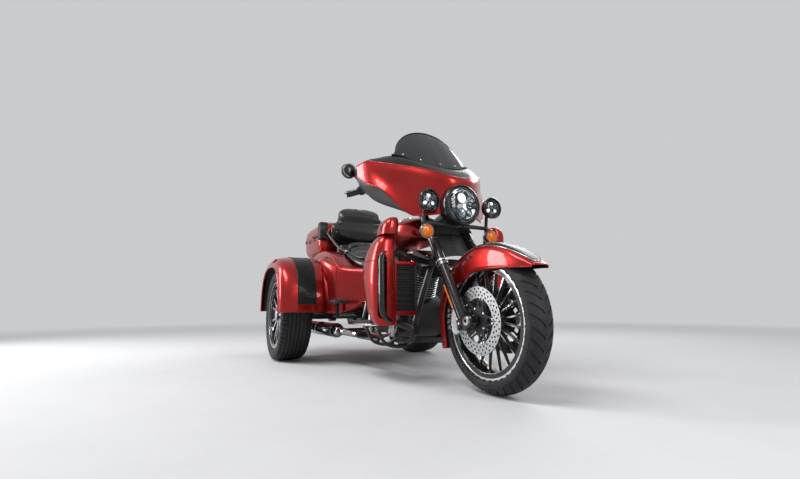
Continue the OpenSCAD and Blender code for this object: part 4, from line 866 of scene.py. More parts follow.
FENDER = np.array([[-330, -150, -258, -134, 1], [-352, -60, -272, -56, 1], [-356, 30, -276, 24, 1],
                   [-332, 128, -252, 98, 1], [-272, 222, -196, 152, 1], [-176, 298, -118, 168, 1],
                   [-60, 342, -52, 208, 1], [60, 346, 40, 218, 1], [168, 314, 140, 218, .96],
                   [256, 264, 228, 216, .84], [306, 226, 296, 214, .60]], float)


def fender_point(t, v, lift=0.0):
    """Point of the front fender at row t, across v from -1 to 1, raised by lift in metres."""
    row = spline(np.arange(len(FENDER)), FENDER, np.array(float(t)))
    a = math.radians(90 * (1 - v))
    u = abs(math.sin(a)) ** .55
    side = signed(math.cos(a), .55)
    x, z = row[2] + (row[0] - row[2]) * u, row[3] + (row[1] - row[3]) * u
    out = np.array([x, 0, z]) / max(math.hypot(x, z), 1)
    return np.array([FRONT_X + x / 1000, .077 * row[4] * side, FRONT_Z + z / 1000]) + out * lift


def front_fender():
    rows, cols = np.linspace(0, 10, 41), np.linspace(-1, 1, 25)
    body = "front_end"
    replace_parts(skin("front_fender_shell", [[fender_point(t, v) for v in cols] for t in rows], body, RED,
                     .003, 1), "front_fender")
    cap = np.linspace(3.6, 9.6, 26)
    reach = [0.44 * min(1, (9.9 - t) / 2.2) ** .5 * min(1, (t - 3.3) / 1.0) ** .5 for t in cap]
    skin("fender_black_panel",
         [[fender_point(t, w * c, .0012) for c in np.linspace(-1, 1, 9)] for t, w in zip(cap, reach)], body,
         PANEL, .0008, 1)
    loop = [fender_point(t, w, .0018) for t, w in zip(cap, reach)]
    loop += [fender_point(t, -w, .0018) for t, w in zip(cap[::-1], reach[::-1])]
    swept("fender_panel_line", loop, .0016, body, MACHINED, sides=6, closed=True)
    for side, word in SIDES:
        edge = [fender_point(t, side * .995) for t in rows]
        swept(f"fender_edge_{word}", edge, .0030, body, RED, sides=8)
    spots = []
    for side in (-1, 1):
        for t, v in ((5.70, .74), (6.05, .76)):
            p = fender_point(t, side * v)
            spots.append((p + (0, side * .001, 0), (0, side, .25)))
    bolts("fender_bolts", spots, .0065, body, BLACK)


# Fork

def fork():
    def one(side, word):
        y = side * LEG_Y
        lean = Matrix.Rotation(-FORK_LEAN, 4, "Y")
        for k, (s, r, h, m) in enumerate(((.302, .0315, .018, DARK_CHROME), (.326, .0305, .010, CHROME),
                                          (.338, .0285, .006, BLACK), (.470, .0285, .006, DARK_CHROME))):
            obj = turned(f"fork_ring_{word}_{k}",
                         [(.0252, 0), (r - .0015, 0), (r, .0015), (r, h - .0015), (r - .0015, h),
                          (.0252, h)], (0, 0, 0), "front_end", m, "Z", 48)
            obj.matrix_world = Matrix.Translation(on_fork(0, y, s)) @ lean
        strip = [on_fork(-.0195, y + side * .0205, s) for s in (.075, .140, .205)]
        swept(f"fork_reflector_{word}", strip, .0068, "front_end", MARKER, sides=10, flat=.7)
        swept(f"fork_reflector_base_{word}", [p + (.0022, -side * .002, .0012) for p in strip], .0086,
              "front_end", PLASTIC, sides=10, flat=.6)
        if side < 0:
            across, up = np.linspace(-1, 1, 15), np.linspace(.366, .512, 9)
            apron = [[on_fork(.012 - .020 * v * v, v * (LEG_Y - .027), s) for v in across] for s in up]
            skin("fork_apron", apron, "front_end", PLASTIC, .004, 1)
            for k, s in enumerate((.390, .412, .434, .456, .478)):
                swept(f"fork_apron_rib_{k}",
                      [on_fork(.0135 - .020 * v * v, v * (LEG_Y - .045), s) for v in across], .0028,
                      "front_end", SATIN, sides=8)
        spots = [(on_fork(-.006, y + side * .022, s) + (0, side * .009, 0), (0, side, 0))
                 for s in (-.012, .012)]
        bolts(f"fork_pinch_bolts_{word}", spots, .0062, "front_end", CHROME)
        cx, cz = FRONT_X - .168, FRONT_Z + .007
        yy = side * DISC_Y
        rings = []
        for t in np.linspace(-1, 1, 9):
            a = math.radians(180 + 27 * t)
            c = np.array([FRONT_X + .156 * math.cos(a), 0, FRONT_Z + .156 * math.sin(a)])
            out = np.array([math.cos(a), 0, math.sin(a)])
            h = .026 * (1 - .35 * abs(t) ** 3)
            w = .033 * (1 - .25 * abs(t) ** 3)
            rings.append([c + out * h * math.cos(q) * 1.1
                          + np.array([0, yy + side * .006 + w * math.sin(q), 0]) for q in around(14)])
        loft(f"brake_caliper_{word}", rings, "front_end", MACHINED, 1)
        spots = [((cx + dx, yy + side * .039, cz + dz), (0, side, 0))
                 for dx, dz in ((0, .038), (-.004, .012), (-.004, -.014), (0, -.040))]
        bolts(f"caliper_pistons_{word}", spots, .0105, "front_end", DARK_CHROME)
    both(one)


front_wheel()
rear_wheels()
front_fender()
fork()


# Fairing: stations across the width, in millimetres from the front axle.
# Columns: share of the half-width, top x, top z, brow x, brow z, middle x, middle z, bottom x, bottom z
FAIRING = np.array([[0.00, -214, 1046, -206, 1022, -224, 960, -258, 862],
                    [0.14, -222, 1052, -212, 1026, -226, 962, -252, 856],
                    [0.27, -250, 1072, -238, 1042, -244, 970, -246, 850],
                    [0.41, -294, 1094, -284, 1060, -286, 980, -286, 846],
                    [0.55, -346, 1114, -338, 1076, -346, 1002, -334, 852],
                    [0.70, -414, 1138, -408, 1102, -414, 1040, -392, 926],
                    [0.84, -498, 1168, -492, 1138, -488, 1092, -458, 1012],
                    [0.94, -566, 1186, -560, 1162, -550, 1122, -528, 1050],
                    [1.00, -640, 1178, -636, 1166, -632, 1148, -624, 1112]], float)
# The rider's side. Columns: share of the half-width, top x, top z, bottom x, bottom z
DASH = np.array([[0.00, -396, 1150, -560, 1040], [0.30, -418, 1168, -570, 1036],
                 [0.62, -500, 1222, -592, 1010], [0.80, -566, 1216, -620, 1000],
                 [0.93, -612, 1206, -652, 1050], [1.00, -652, 1184, -664, 1112]], float)
WING = 0.415


def fairing_at(f, u):
    """Point of the painted shell: f across from -1 to 1, u from the top edge (0) to the bottom edge (1)."""
    row = row_at(FAIRING, abs(f))
    x, z = spline([0, .2, .52, 1], row.reshape(4, 2), np.array(float(u)))
    return np.array([FRONT_X + x / 1000, WING * f, z / 1000])


def dash_at(f, u):
    """Point of the rider's side: f across from -1 to 1, u from the top (0) to the bottom (1)."""
    row = row_at(DASH, abs(f)) / 1000
    x = row[0] * (1 - u) + row[2] * u - .030 * math.sin(math.pi * u)
    return np.array([FRONT_X + x, (WING - .010) * f, row[1] * (1 - u) + row[3] * u])


def fairing():
    body = "front_end"
    across = np.sin(np.linspace(-math.pi / 2, math.pi / 2, 57))
    down = [0, .03, .08, .14, .2, .3, .4, .52, .64, .76, .88, .95, 1.0]
    shell = [[fairing_at(f, u) for u in down[::-1]] for f in across]
    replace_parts(skin("fairing_shell", shell, body, RED, .005, 1), "fairing_outer")
    for word, u in (("top", 0.0), ("bottom", 1.0)):
        swept(f"fairing_{word}_roll", [fairing_at(f, u) + (-.003, 0, 0) for f in across], .0042, body, RED,
              sides=8)
    cap = []
    for f in np.linspace(-.985, .985, 49):
        a, b = fairing_at(f, 0) + (-.007, 0, .002), dash_at(f, 0) + (.002, 0, .001)
        cap.append([a * (1 - t) + b * t + np.array([0, 0, .018 * math.sin(math.pi * t) * (1 - f * f)])
                    for t in np.linspace(0, 1, 9)])
    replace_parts(skin("fairing_cap_skin", cap, body, PANEL, .004, 1), "fairing_cap")
    low = np.array([[.20, -372, 896], [.30, -378, 898], [.41, -384, 900], [.53, -409, 906],
                    [.63, -466, 922], [.72, -543, 948], [.82, -606, 986], [.92, -636, 1052],
                    [1.0, -650, 1112]])
    chin = []
    for f in np.linspace(.24, .995, 26):
        q = row_at(low, f) / 1000
        a = fairing_at(f, 1.0) + (-.006, 0, .004)
        m = np.array([FRONT_X + q[0], WING * f - .012, q[1]])
        b = dash_at(f, .96) + (0, -.002, 0)
        sag = float(np.interp(f, (.5, .72), (.003, .020)))
        chin.append([a + (m - a) * t
                     + np.array([0, .004 * math.sin(math.pi * t), -sag * math.sin(math.pi * t)])
                     for t in (0, .25, .5, .75)] + [m + (b - m) * t for t in (0, .3, .65, 1)])
    for side, word in SIDES[::-1]:
        g = np.array(chin) * (1, side, 1)
        skin(f"fairing_chin_{word}", g if side > 0 else g[::-1], body, SATIN, .003, 1)
    dash = [[dash_at(f, u) for u in np.linspace(0, 1, 9)] for f in np.linspace(-1, 1, 49)]
    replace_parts(skin("dash_skin", dash, body, SATIN, .004, 1), "fairing_inner")
    dash_face(body)


def dash_normal(f, u):
    """Direction out of the rider's side."""
    a = dash_at(f + .01, u) - dash_at(f - .01, u)
    b = dash_at(f, u + .01) - dash_at(f, u - .01)
    n = np.cross(a, b)
    n /= np.linalg.norm(n)
    return n if n[0] < 0 else -n


def dash_face(body):
    """Dials, blank screen and speakers on the rider's side."""
    def dial(name, f, u, r, face):
        n = dash_normal(f, u)
        at = dash_at(f, u) + n * .002
        place = facing(at, n)
        ring = [(r - .004, 0), (r - .004, .010), (r, .012), (r + .004, .008), (r + .005, -.006)]
        disc = [(0, .003), (r - .004, .003)]
        for part, prof, m in (("ring", ring, CHROME), ("face", disc, face)):
            o = turned(f"{name}_{part}", prof, (0, 0, 0), body, m, "Z", 40)
            o.matrix_world = place
        if face is not GRILLE:
            ticks = []
            for k in range(25):
                a = math.radians(-30 + 240 * k / 24)
                long = .84 if k % 4 else .74
                for q in (long, .92):
                    ticks.append(place @ Vector((q * r * math.cos(a), q * r * math.sin(a), .0042)))
            pts, faces = [], []
            for k in range(25):
                a, b = ticks[2 * k], ticks[2 * k + 1]
                w = (b - a).cross(Vector(n)).normalized() * .0006
                pts += [a - w, a + w, b + w, b - w]
                faces.append((4 * k, 4 * k + 1, 4 * k + 2, 4 * k + 3))
            piece(f"{name}_ticks", pts, faces, body, LED)
            tip = place @ Vector((-.6 * r, .25 * r, .006))
            swept(f"{name}_hand", [place @ Vector((0, 0, .006)), tip], [.0022, .0008], body, GLOW, sides=6)
    for side, word in SIDES:
        dial(f"main_dial_{word}", side * .17, .30, .046, DIAL)
        dial(f"small_dial_{word}", side * .40, .30, .026, DIAL)
        dial(f"dash_speaker_{word}", side * .68, .50, .066, GRILLE)
    n = dash_normal(0, .72)
    slab("dash_screen", [rounded(.165, .088, .008)], .008, body, SCREEN,
         facing(dash_at(0, .70) + n * .006, n), .001)
    slab("dash_screen_frame", [rounded(.185, .108, .014), rounded(.163, .086, .008)], .014, body, PLASTIC,
         facing(dash_at(0, .70) + n * .006, n), .002)


def windshield():
    body = "front_end"
    rows = []
    for f in .64 * np.sin(np.linspace(-math.pi / 2, math.pi / 2, 41)):
        g = f / .64
        foot = dash_at(f, 0) + (.004, 0, .001)
        high = 1.226 + .202 * (1 - g * g) ** .5 - foot[2]
        rows.append([foot
                     + np.array([-.50 * t * high - .03 * t * t * high / .25, -foot[1] * .12 * t, t * high])
                     for t in np.linspace(0, 1, 11)])
    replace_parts(skin("windshield_screen", rows, body, SMOKED, .0035, 1), "windshield")
    rim = [r[0] + (.004, 0, .003) for r in rows]
    swept("windshield_foot_trim", rim, .0065, body, PLASTIC, sides=10, flat=.8)
    swept("windshield_edge", [r[-1] for r in rows], .0024, body, PLASTIC, sides=6)
    spots = [(np.array(rows[k][1]) + (.006, 0, 0), (1, 0, .5)) for k in (8, 14, 20, 26, 32)]
    bolts("windshield_bolts", spots, .0055, body, CHROME)


def lamp(name, at, r, depth, cells, body, shell, cover, node, trim):
    """Round lamp that looks along +X: shell, bright bowl, cells and a domed cover."""
    case = turned(f"{name}_case",
                  [(0, -depth), (r * .4, -depth + .003), (r * .76, -depth * .66), (r * .96, -depth * .3),
                   (r, -.008), (r, .0), (r - .003, .004), (r - .008, .0045), (r - .010, -.001),
                   (r - .012, -.016), (r * .35, -depth * .55), (0, -depth * .56)], at, body, shell, "X", 56)
    if node:
        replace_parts(case, node)
    turned(f"{name}_bowl", [(r - .0125, -.010), (r * .74, -.020), (r * .5, -depth * .46), (0, -depth * .5)],
           at, body, REFLECTOR, "X", 40)
    turned(f"{name}_rim", [(r - .0035, .0042), (r - .006, .0062), (r - .0085, .0045)], at, body, trim, "X",
           56)
    for k, (y, z, cr, m) in enumerate(cells):
        c = np.array(at) + (-.020, y, z)
        turned(f"{name}_cell_{k}",
               [(0, .010), (cr * .45, .0085), (cr * .8, .004), (cr, -.004), (cr, -.014)], c, body, m, "X",
               28)
        turned(f"{name}_cell_ring_{k}", [(cr, -.012), (cr, .001), (cr + .0025, .001), (cr + .0030, -.014)],
               c, body, PLASTIC, "X", 28)
    turned(f"{name}_cover",
           [((r - .010) * math.sin(a), -.003 + .014 * math.cos(a)) for a in np.linspace(math.pi / 2, 0, 9)],
           at, body, cover, "X", 48)


def lamps():
    body = "front_end"
    at = mm(-196, 0, 898)
    big = [(0, .036, .026, LED), (0, -.042, .027, OPTIC), (-.050, .004, .018, OPTIC),
           (.050, .004, .018, OPTIC), (-.046, -.036, .014, OPTIC), (.046, -.036, .014, OPTIC),
           (-.046, .042, .012, OPTIC), (.046, .042, .012, OPTIC)]
    lamp("headlamp", at, .096, .070, big, body, BLACK, CLEAR, "headlamp", DARK_CHROME)
    turned("headlamp_bezel",
           [(.0950, -.006), (.0955, .003), (.0975, .0065), (.1005, .0078), (.1040, .0055), (.1070, .0000),
            (.1085, -.012), (.1085, -.060), (.100, -.075)], at, body, BLACK, "X", 72)
    for k, way in enumerate((1, -1)):
        bar = [at + np.array([-.012, .030 * way, 0]), at + np.array([-.008, .080 * way, -.006])]
        swept(f"headlamp_divider_{k}", bar, .0055, body, PLASTIC, sides=8)

    def one(side, word):
        cells = [(0, .022, .0085, LED), (.019, -.012, .0085, LED), (-.019, -.012, .0085, LED),
                 (0, -.029, .013, OPTIC), (.027, .015, .013, OPTIC), (-.027, .015, .013, OPTIC),
                 (0, 0, .008, OPTIC)]
        lamp(f"passing_lamp_{word}", mm(-198, side * 197, 902), .058, .064, cells, body, BLACK, CLEAR,
             "passing_lamps" if side < 0 else None, BLACK)
        c = mm(-224, side * 201, 750)
        case = turned(f"turn_signal_{word}",
                      [(0, -.062), (.010, -.060), (.022, -.046), (.031, -.026), (.0355, -.010),
                       (.037, -.003), (.0355, .0)], c, body, DARK_CHROME, "X", 40)
        if side < 0:
            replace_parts(case, "turn_signals")
        turned(f"turn_signal_lens_{word}",
               [(.0350, -.003), (.0345, .003), (.0320, .0080), (.0290, .0088), (.0270, .0125),
                (.0240, .0131), (.0215, .0160), (.0185, .0164), (.0150, .0188), (.008, .0202), (0, .0206)],
               c, body, AMBER, "X", 40)
        turned(f"turn_signal_ring_{word}",
               [(.0352, -.004), (.0385, -.003), (.0392, .001), (.0375, .0045), (.0345, .0046)], c, body,
               DARK_CHROME, "X", 40)
        turned(f"turn_signal_bowl_{word}", [(.034, -.001), (.024, -.012), (.010, -.022), (0, -.024)], c,
               body, REFLECTOR, "X", 32)
        turned(f"turn_signal_bulb_{word}", [(.020, -.006), (.012, .002), (0, .005)], c, body, GLOW, "X", 24)
    both(one)


fairing()
windshield()
lamps()


# Lower fairings: sections from the bottom up, in millimetres. Columns: height, rear x, outer y, front x
POD = np.array([[292, -398, 408, -340], [330, -440, 424, -334], [420, -496, 432, -331],
                [520, -530, 436, -330], [600, -528, 430, -331], [670, -500, 416, -335],
                [716, -460, 398, -342], [736, -428, 380, -352]], float)
POD_INNER = 302


def pod_ring(z, side, shrink=0.0, n=28, rows=None):
    """Outline of a lower fairing at a height."""
    rows = POD if rows is None else rows
    row = row_at(rows, z)
    cx, cy = (row[0] + row[2]) / 2, (POD_INNER + row[1]) / 2
    hx, hy = (row[2] - row[0]) / 2 - shrink, (row[1] - POD_INNER) / 2 - shrink
    ring = []
    for i in range(n):
        a = 2 * math.pi * (i + .5) / n
        c, s = math.cos(a), math.sin(a)
        ring.append(mm(cx + hx * signed(c, .62), side * (cy + hy * signed(s, .62)), z))
    return ring


def carve(obj, *cutters):
    """Cuts closed meshes out of a piece for good. The cut faces take the cutter's finish."""
    for c in cutters:
        m = obj.modifiers.new("carve", "BOOLEAN")
        m.object, m.operation, m.solver, m.material_mode = c, "DIFFERENCE", "EXACT", "TRANSFER"
        bpy.context.view_layer.update()
        done = bpy.data.meshes.new_from_object(obj.evaluated_get(bpy.context.evaluated_depsgraph_get()))
        obj.modifiers.clear()
        obj.data = done
        bpy.data.objects.remove(c)
    return obj


def lower_fairings():
    body = "chassis"

    def one(side, word):
        def slot_cut(k):
            """Cutter for the upright slot, round at both ends."""
            ends = []
            for x in (-432, -250):
                ends.append([mm(x, side * (391 + 23 * math.cos(a)), 0)
                             + np.array([0, 0, (.610 if math.sin(a) > 0 else .352) + .028 * math.sin(a)])
                             for a in around(24)])
            return loft(f"slot_{word}_{k}", ends, body, RED)
        low = [pod_ring(z, side) for z in (292, 300, 318, 345, 380, 420, 470, 520, 560, 590, 603, 605)]
        low[0] = pod_ring(291, side, 6)
        high = [pod_ring(z, side)
                for z in (609, 611, 625, 650, 675, 698, 716, 728, 735)] + [pod_ring(738, side, 9)]
        lid = np.array([[741, -446, 386, -316], [775, -440, 384, -313], [800, -428, 376, -314],
                        [818, -412, 362, -320], [828, -396, 346, -330]], float)
        levels = ((741, 2.5), (742, 0), (755, 0), (770, 0), (785, 0), (800, 0), (811, 0), (820, 0),
                  (826, 0), (829.5, 7))
        rings = [pod_ring(z, side, k, 28, lid) for z, k in levels]
        crisp(loft(f"lower_fairing_{word}_lid", rings, body, RED), 50)
        slab(f"lower_lid_pull_{word}", [circle(.017, 32), circle(.0075, 20)], .006, body, PLASTIC,
             facing(mm(-352, side * 380, 770), (.55, side, .12)), .0014)
        lower = carve(loft(f"lower_fairing_{word}_panel", low, body, RED), slot_cut(0))
        upper = carve(loft(f"lower_fairing_{word}_cap", high, body, RED), slot_cut(1))
        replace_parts(lower, f"lower_fairing_{word}")
        for o in (lower, upper):
            crisp(o, 38)
        seam = [np.array(p) * (1, 1, 0) + np.array([0, 0, .607]) for p in pod_ring(607, side, 2.5, 40)]
        swept(f"lower_fairing_seam_{word}", seam, .0022, body, PLASTIC, sides=6, closed=True)
        f0, f1 = side * .1735, side * .306
        for k, (z0, z1) in enumerate(((.592, .614), (.338, .360))):
            block(f"grille_frame_{word}_{k}", (FRONT_X - .430, f0, z0), (FRONT_X - .374, f1, z1), body, RED,
                  .006)
        for k, (ya, yb) in enumerate(((.172, .187), (.289, .306))):
            block(f"grille_post_{word}_{k}", (FRONT_X - .430, side * ya, .340),
                  (FRONT_X - .376, side * yb, .612), body, (PLASTIC, RED)[k], .006)
        pts, faces = [], []
        n = 22
        for k in range(n):
            z = .364 + .226 * (k + .5) / n
            for y in (side * .1875, side * .2885):
                pts += [(FRONT_X - .380, y, z - .0012), (FRONT_X - .392, y, z + .0034),
                        (FRONT_X - .392, y, z + .0048), (FRONT_X - .380, y, z + .0006)]
            b = len(pts) - 8
            faces += [(b, b + 1, b + 5, b + 4), (b + 1, b + 2, b + 6, b + 5), (b + 2, b + 3, b + 7, b + 6),
                      (b + 3, b, b + 4, b + 7)]
        upright(piece(f"grille_slats_{word}", pts, faces, body, PLASTIC, smooth=False))
    both(one)


# Fuel tank

def fuel_tank():
    rows = np.array([[0, .30, .22], [.06, .52, .42], [.2, .8, .7], [.4, .98, .93], [.6, 1, 1],
                     [.8, .92, .97], [.94, .68, .82], [1, .44, .6]])
    front, rear = FRONT_X - .470, FRONT_X - .960
    rings = []
    for t in np.r_[np.linspace(0, .06, 4), np.linspace(.1, .9, 17), np.linspace(.94, 1, 4)]:
        w, h = row_at(rows, t)
        x = rear + (front - rear) * t
        z0, z1 = .728 + .024 * t, .748 + .154 * h
        ring = []
        for i in range(36):
            a = 2 * math.pi * (i + .5) / 36
            c, s = math.cos(a), math.sin(a)
            ring.append((x, .175 * w * signed(c, .80), (z0 + z1) / 2 + (z1 - z0) / 2 * signed(s, .80)))
        rings.append(ring)
    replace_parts(loft("fuel_tank_shell", rings, "chassis", RED, 1), "fuel_tank")
    spine = []
    for t in np.linspace(.10, .93, 30):
        w, h = row_at(rows, t)
        x, z = rear + (front - rear) * t, .748 + .154 * h
        half = .052 * min(1, (t - .06) / .12, (.97 - t) / .1) ** .5
        spine.append([(x, half * v, z + .0045 - .010 * abs(v) ** 3 - .0015 * (1 - min(1, half / .05)))
                      for v in np.linspace(-1, 1, 9)])
    skin("tank_console", spine, "chassis", BLACK, .010, 1)
    t = .62
    h = row_at(rows, t)[1]
    for k, side in enumerate((-1, 1)):
        at = (rear + (front - rear) * t, side * .092, .748 + .154 * h - .012)
        o = turned(f"tank_cap_{k}",
                   [(.036, -.012), (.038, .004), (.036, .009), (.031, .0115), (.012, .0135), (0, .0138)],
                   at, "chassis", CHROME, "Z", 48)
        o.rotation_euler = (-side * .32, 0, 0)


# Engine

def engine():
    body = "chassis"
    cx, cz = FRONT_X - .700, .330

    def vee(s, x, y, d):
        """Point of a leaning barrel: x along the bike, y across, d up the barrel."""
        a = math.radians(22.5) * s
        return np.array([cx + d * math.sin(a) + x * math.cos(a), s * .008 + y,
                         cz + d * math.cos(a) - x * math.sin(a)])

    def right_cover(name, profile, place, finish, steps):
        """Turned cover that looks to the right."""
        o = turned(name, profile, place, body, finish, "Y", steps)
        o.scale = (1, -1, 1)
        return o

    for s, word in ((1, "front"), (-1, "rear")):
        rings = []
        for d, k in ((.340, 1.0), (.362, 1.0), (.376, .94), (.384, .80), (.387, .5)):
            rings.append([vee(s, .078 * k * signed(math.cos(a), .5), .066 * k * signed(math.sin(a), .5), d)
                          for a in around(32)])
        crisp(loft(f"rocker_cover_{word}", rings, body, BLACK), 40)
        spots = [(vee(s, x, y, .3835), vee(s, 0, 0, 1) - vee(s, 0, 0, 0)) for x in (-.056, .056)
                 for y in (-.044, .044)]
        bolts(f"rocker_bolts_{word}", spots, .0065, body, CHROME)
        for k in range(9):
            d = .144 + k * .128 / 9
            loop = [vee(s, .0822 * math.cos(a), .0822 * math.sin(a), d) for a in around(56)]
            swept(f"fin_edge_{word}_{k}", loop, .0013, body, MACHINED, sides=5, closed=True)
        for k, off in enumerate((-.016, .016)):
            swept(f"pushrod_tube_{word}_{k}",
                  [vee(s, off - s * .010, -.098, .120), vee(s, off, -.094, .225), vee(s, off, -.090, .345)],
                  .0095, body, CHROME, sides=14)
            swept(f"pushrod_collar_{word}_{k}", [vee(s, off, -.0945, .215), vee(s, off, -.0940, .232)],
                  .0125, body, CHROME, sides=14)
    at = (cx, -.0905, cz + .262)
    cleaner = [(.080, .0), (.088, .004), (.089, .050), (.084, .062), (.072, .070), (.060, .0735),
               (.030, .0765), (0, .077)]
    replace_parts(right_cover("air_cleaner_cover", cleaner, at, BLACK, 72), "air_cleaner")
    right_cover("air_cleaner_ring", [(.0895, .012), (.0915, .016), (.0915, .028), (.0895, .032)], at,
                CHROME, 72)
    right_cover("air_cleaner_inset", [(.058, .0740), (.0575, .0765), (.052, .0775), (.051, .0762)], at,
                CHROME, 64)
    for r, y, name, m in ((.078, -.158, "cam_cover", BLACK), (.046, -.1595, "cam_cover_inner", CHROME)):
        dome = [(r, 0), (r - .002, .004), (r - .010, .006), (r * .4, .008), (0, .0085)]
        right_cover(name, dome, (cx, y + .0005, cz + .004), m, 64)
    bolts("cam_cover_bolts",
          [((cx + .068 * math.cos(a), -.1625, cz + .004 + .068 * math.sin(a)), (0, -1, 0))
           for a in around(8)], .0055, body, CHROME)
    gx = cx - .270
    rim = [(cx + .006 + .088 * math.cos(a), cz + .088 * math.sin(a))
           for a in np.linspace(-math.pi / 2, math.pi / 2, 24)]
    rim += [(gx + .096 * math.cos(a), cz + .006 + .096 * math.sin(a))
            for a in np.linspace(math.pi / 2, 3 * math.pi / 2, 24)]
    place = Matrix(((1, 0, 0, 0), (0, 0, -1, .1935), (0, 1, 0, 0), (0, 0, 0, 1)))
    slab("primary_cover", [rim], .010, body, BLACK, place, .003)
    for nm, x, z, r in (("clutch_cover", gx, cz + .006, .070), ("primary_cap", cx + .006, cz, .050)):
        turned(nm, [(r, .1985), (r - .001, .2035), (r - .008, .2055), (r * .5, .2065), (0, .2070)],
               (x, 0, z), body, CHROME, "Y", 64)
    spots = [((x, .1985, z), (0, 1, 0)) for x, z in rim[::4]]
    bolts("primary_bolts", spots, .0055, body, CHROME)


# Exhaust trim

def exhaust():
    body = "chassis"
    x0, x1 = REAR_X + .470, REAR_X - .400

    def one(side, word):
        c = (0, side * .300, .222)
        r = .046
        turned(f"silencer_shell_{word}",
               [(.029, x0 - .002), (.0335, x0 - .012), (r + .0012, x0 - .060), (r + .0012, x1 + .075),
                (r + .0035, x1 + .070), (r + .0035, x1 + .060), (r + .0012, x1 + .056), (.0385, x1 + .004),
                (.0380, x1 - .001), (.0330, x1 - .001), (.0330, x1 + .100)], c, body, CHROME, "X", 56)
        for k, x in enumerate((x0 - .075, x0 - .430)):
            turned(f"silencer_strap_{word}_{k}",
                   [(r + .001, x), (r + .0032, x - .001), (r + .0032, x - .017), (r + .001, x - .018)], c,
                   body, DARK_CHROME, "X", 56)
    both(one)
    guard = smooth_path([(FRONT_X - .530, -.2365, .226), (FRONT_X - .62, -.2365, .2085),
                         (FRONT_X - .80, -.2365, .208), (REAR_X + .66, -.2365, .208)], 40)
    rows = [[p + np.array([0, -.0262 * math.cos(a), .0262 * math.sin(a)])
             for a in np.linspace(-1.15, 1.15, 9)] for p in guard]
    skin("exhaust_shield", rows, body, CHROME, -.0012, 1)


lower_fairings()
fuel_tank()
engine()
exhaust()


# Trunk body and rear fenders

# Columns: distance ahead of the rear axle, half-width, lower edge, top
BODY = np.array([[-654, 400, 340, 735], [0, 400, 340, 735], [230, 400, 340, 735], [300, 400, 340, 735],
                 [410, 380, 344, 693], [560, 300, 352, 641], [670, 192, 430, 629]], float)


def body_section(d, lift=.0016, shrink=0.0):
    """Outline of the trunk body from the right lower edge over the top to the left lower edge."""
    w, z0, z1 = row_at(BODY, d) / 1000
    w, z1, r = w + lift - shrink, z1 + lift - shrink, .040
    half = [(w, z0 + (z1 - r - z0) * t) for t in (0, .02, .2, .4, .6, .8, .95)]
    half += [(w - r + r * math.cos(a), z1 - r + r * math.sin(a))
             for a in np.radians([0, 15, 30, 45, 60, 75, 90])]
    half += [((w - r) * t, z1) for t in (.92, .6, .3)]
    x = REAR_X + d / 1000
    return [(x, -y, z) for y, z in half] + [(x, 0, z1)] + [(x, y, z) for y, z in half[::-1]]


def trunk():
    body = "chassis"
    rows = [body_section(d) for d in np.r_[np.linspace(-654, 300, 14), np.linspace(320, 664, 20), 669]]
    rows += [body_section(674, .0016, .006), body_section(676, .0016, .020)]
    skin("trunk_body_panels", rows, body, RED, .003, 1)
    for d, k in ((-640, 0), (494, 1)):
        swept(f"trunk_seam_{k}", body_section(d, .0022), .0017, body, PLASTIC, sides=6)
    for side, word in SIDES:
        line = []
        for d in np.linspace(430, 640, 12):
            w, z0, z1 = row_at(BODY, d) / 1000
            line.append((REAR_X + d / 1000, side * (w + .0022), z0 + .30 * (z1 - z0)))
        swept(f"trunk_side_seam_{word}", line, .0016, body, PLASTIC, sides=6)
        edge = []
        for d in np.linspace(-650, 668, 40):
            w, z0, _ = row_at(BODY, d) / 1000
            edge.append((REAR_X + d / 1000, side * w, z0))
        swept(f"trunk_skirt_{word}", edge, .0045, body, RED, sides=8)
    seat_shroud()
    door()


def seat_shroud():
    """Raised body edge beside the seat, from the top case to the tank."""
    crest = np.array([[-860, 738], [-800, 772], [-720, 798], [-600, 806], [-450, 794], [-330, 762],
                      [-270, 738], [-170, 676], [-110, 640]], float)

    def one(side, word):
        rings = []
        for x in np.r_[-858, np.linspace(-840, -150, 26), -130]:
            w, _, top = row_at(BODY, x - REAR_X * 1000)
            z = row_at(crest, x)[0]
            out, inn = min(w - 3, 342), seat_size(np.clip(x - REAR_X * 1000, 112, 704))[0] * 1000 + 16
            inn = min(inn, out - 30)
            low = top - 14
            ring = [(out, low), (out - 1, low + .5 * (z - low)), (out - 10, z - 10), (out - 24, z),
                    (inn + 18, z), (inn + 6, z - 7), (inn, low + .4 * (z - low)), (inn, low)]
            rings.append([(x / 1000, side * y / 1000, h / 1000) for y, h in ring])
        loft(f"seat_shroud_{word}", rings, "chassis", RED, 2)
    both(one)


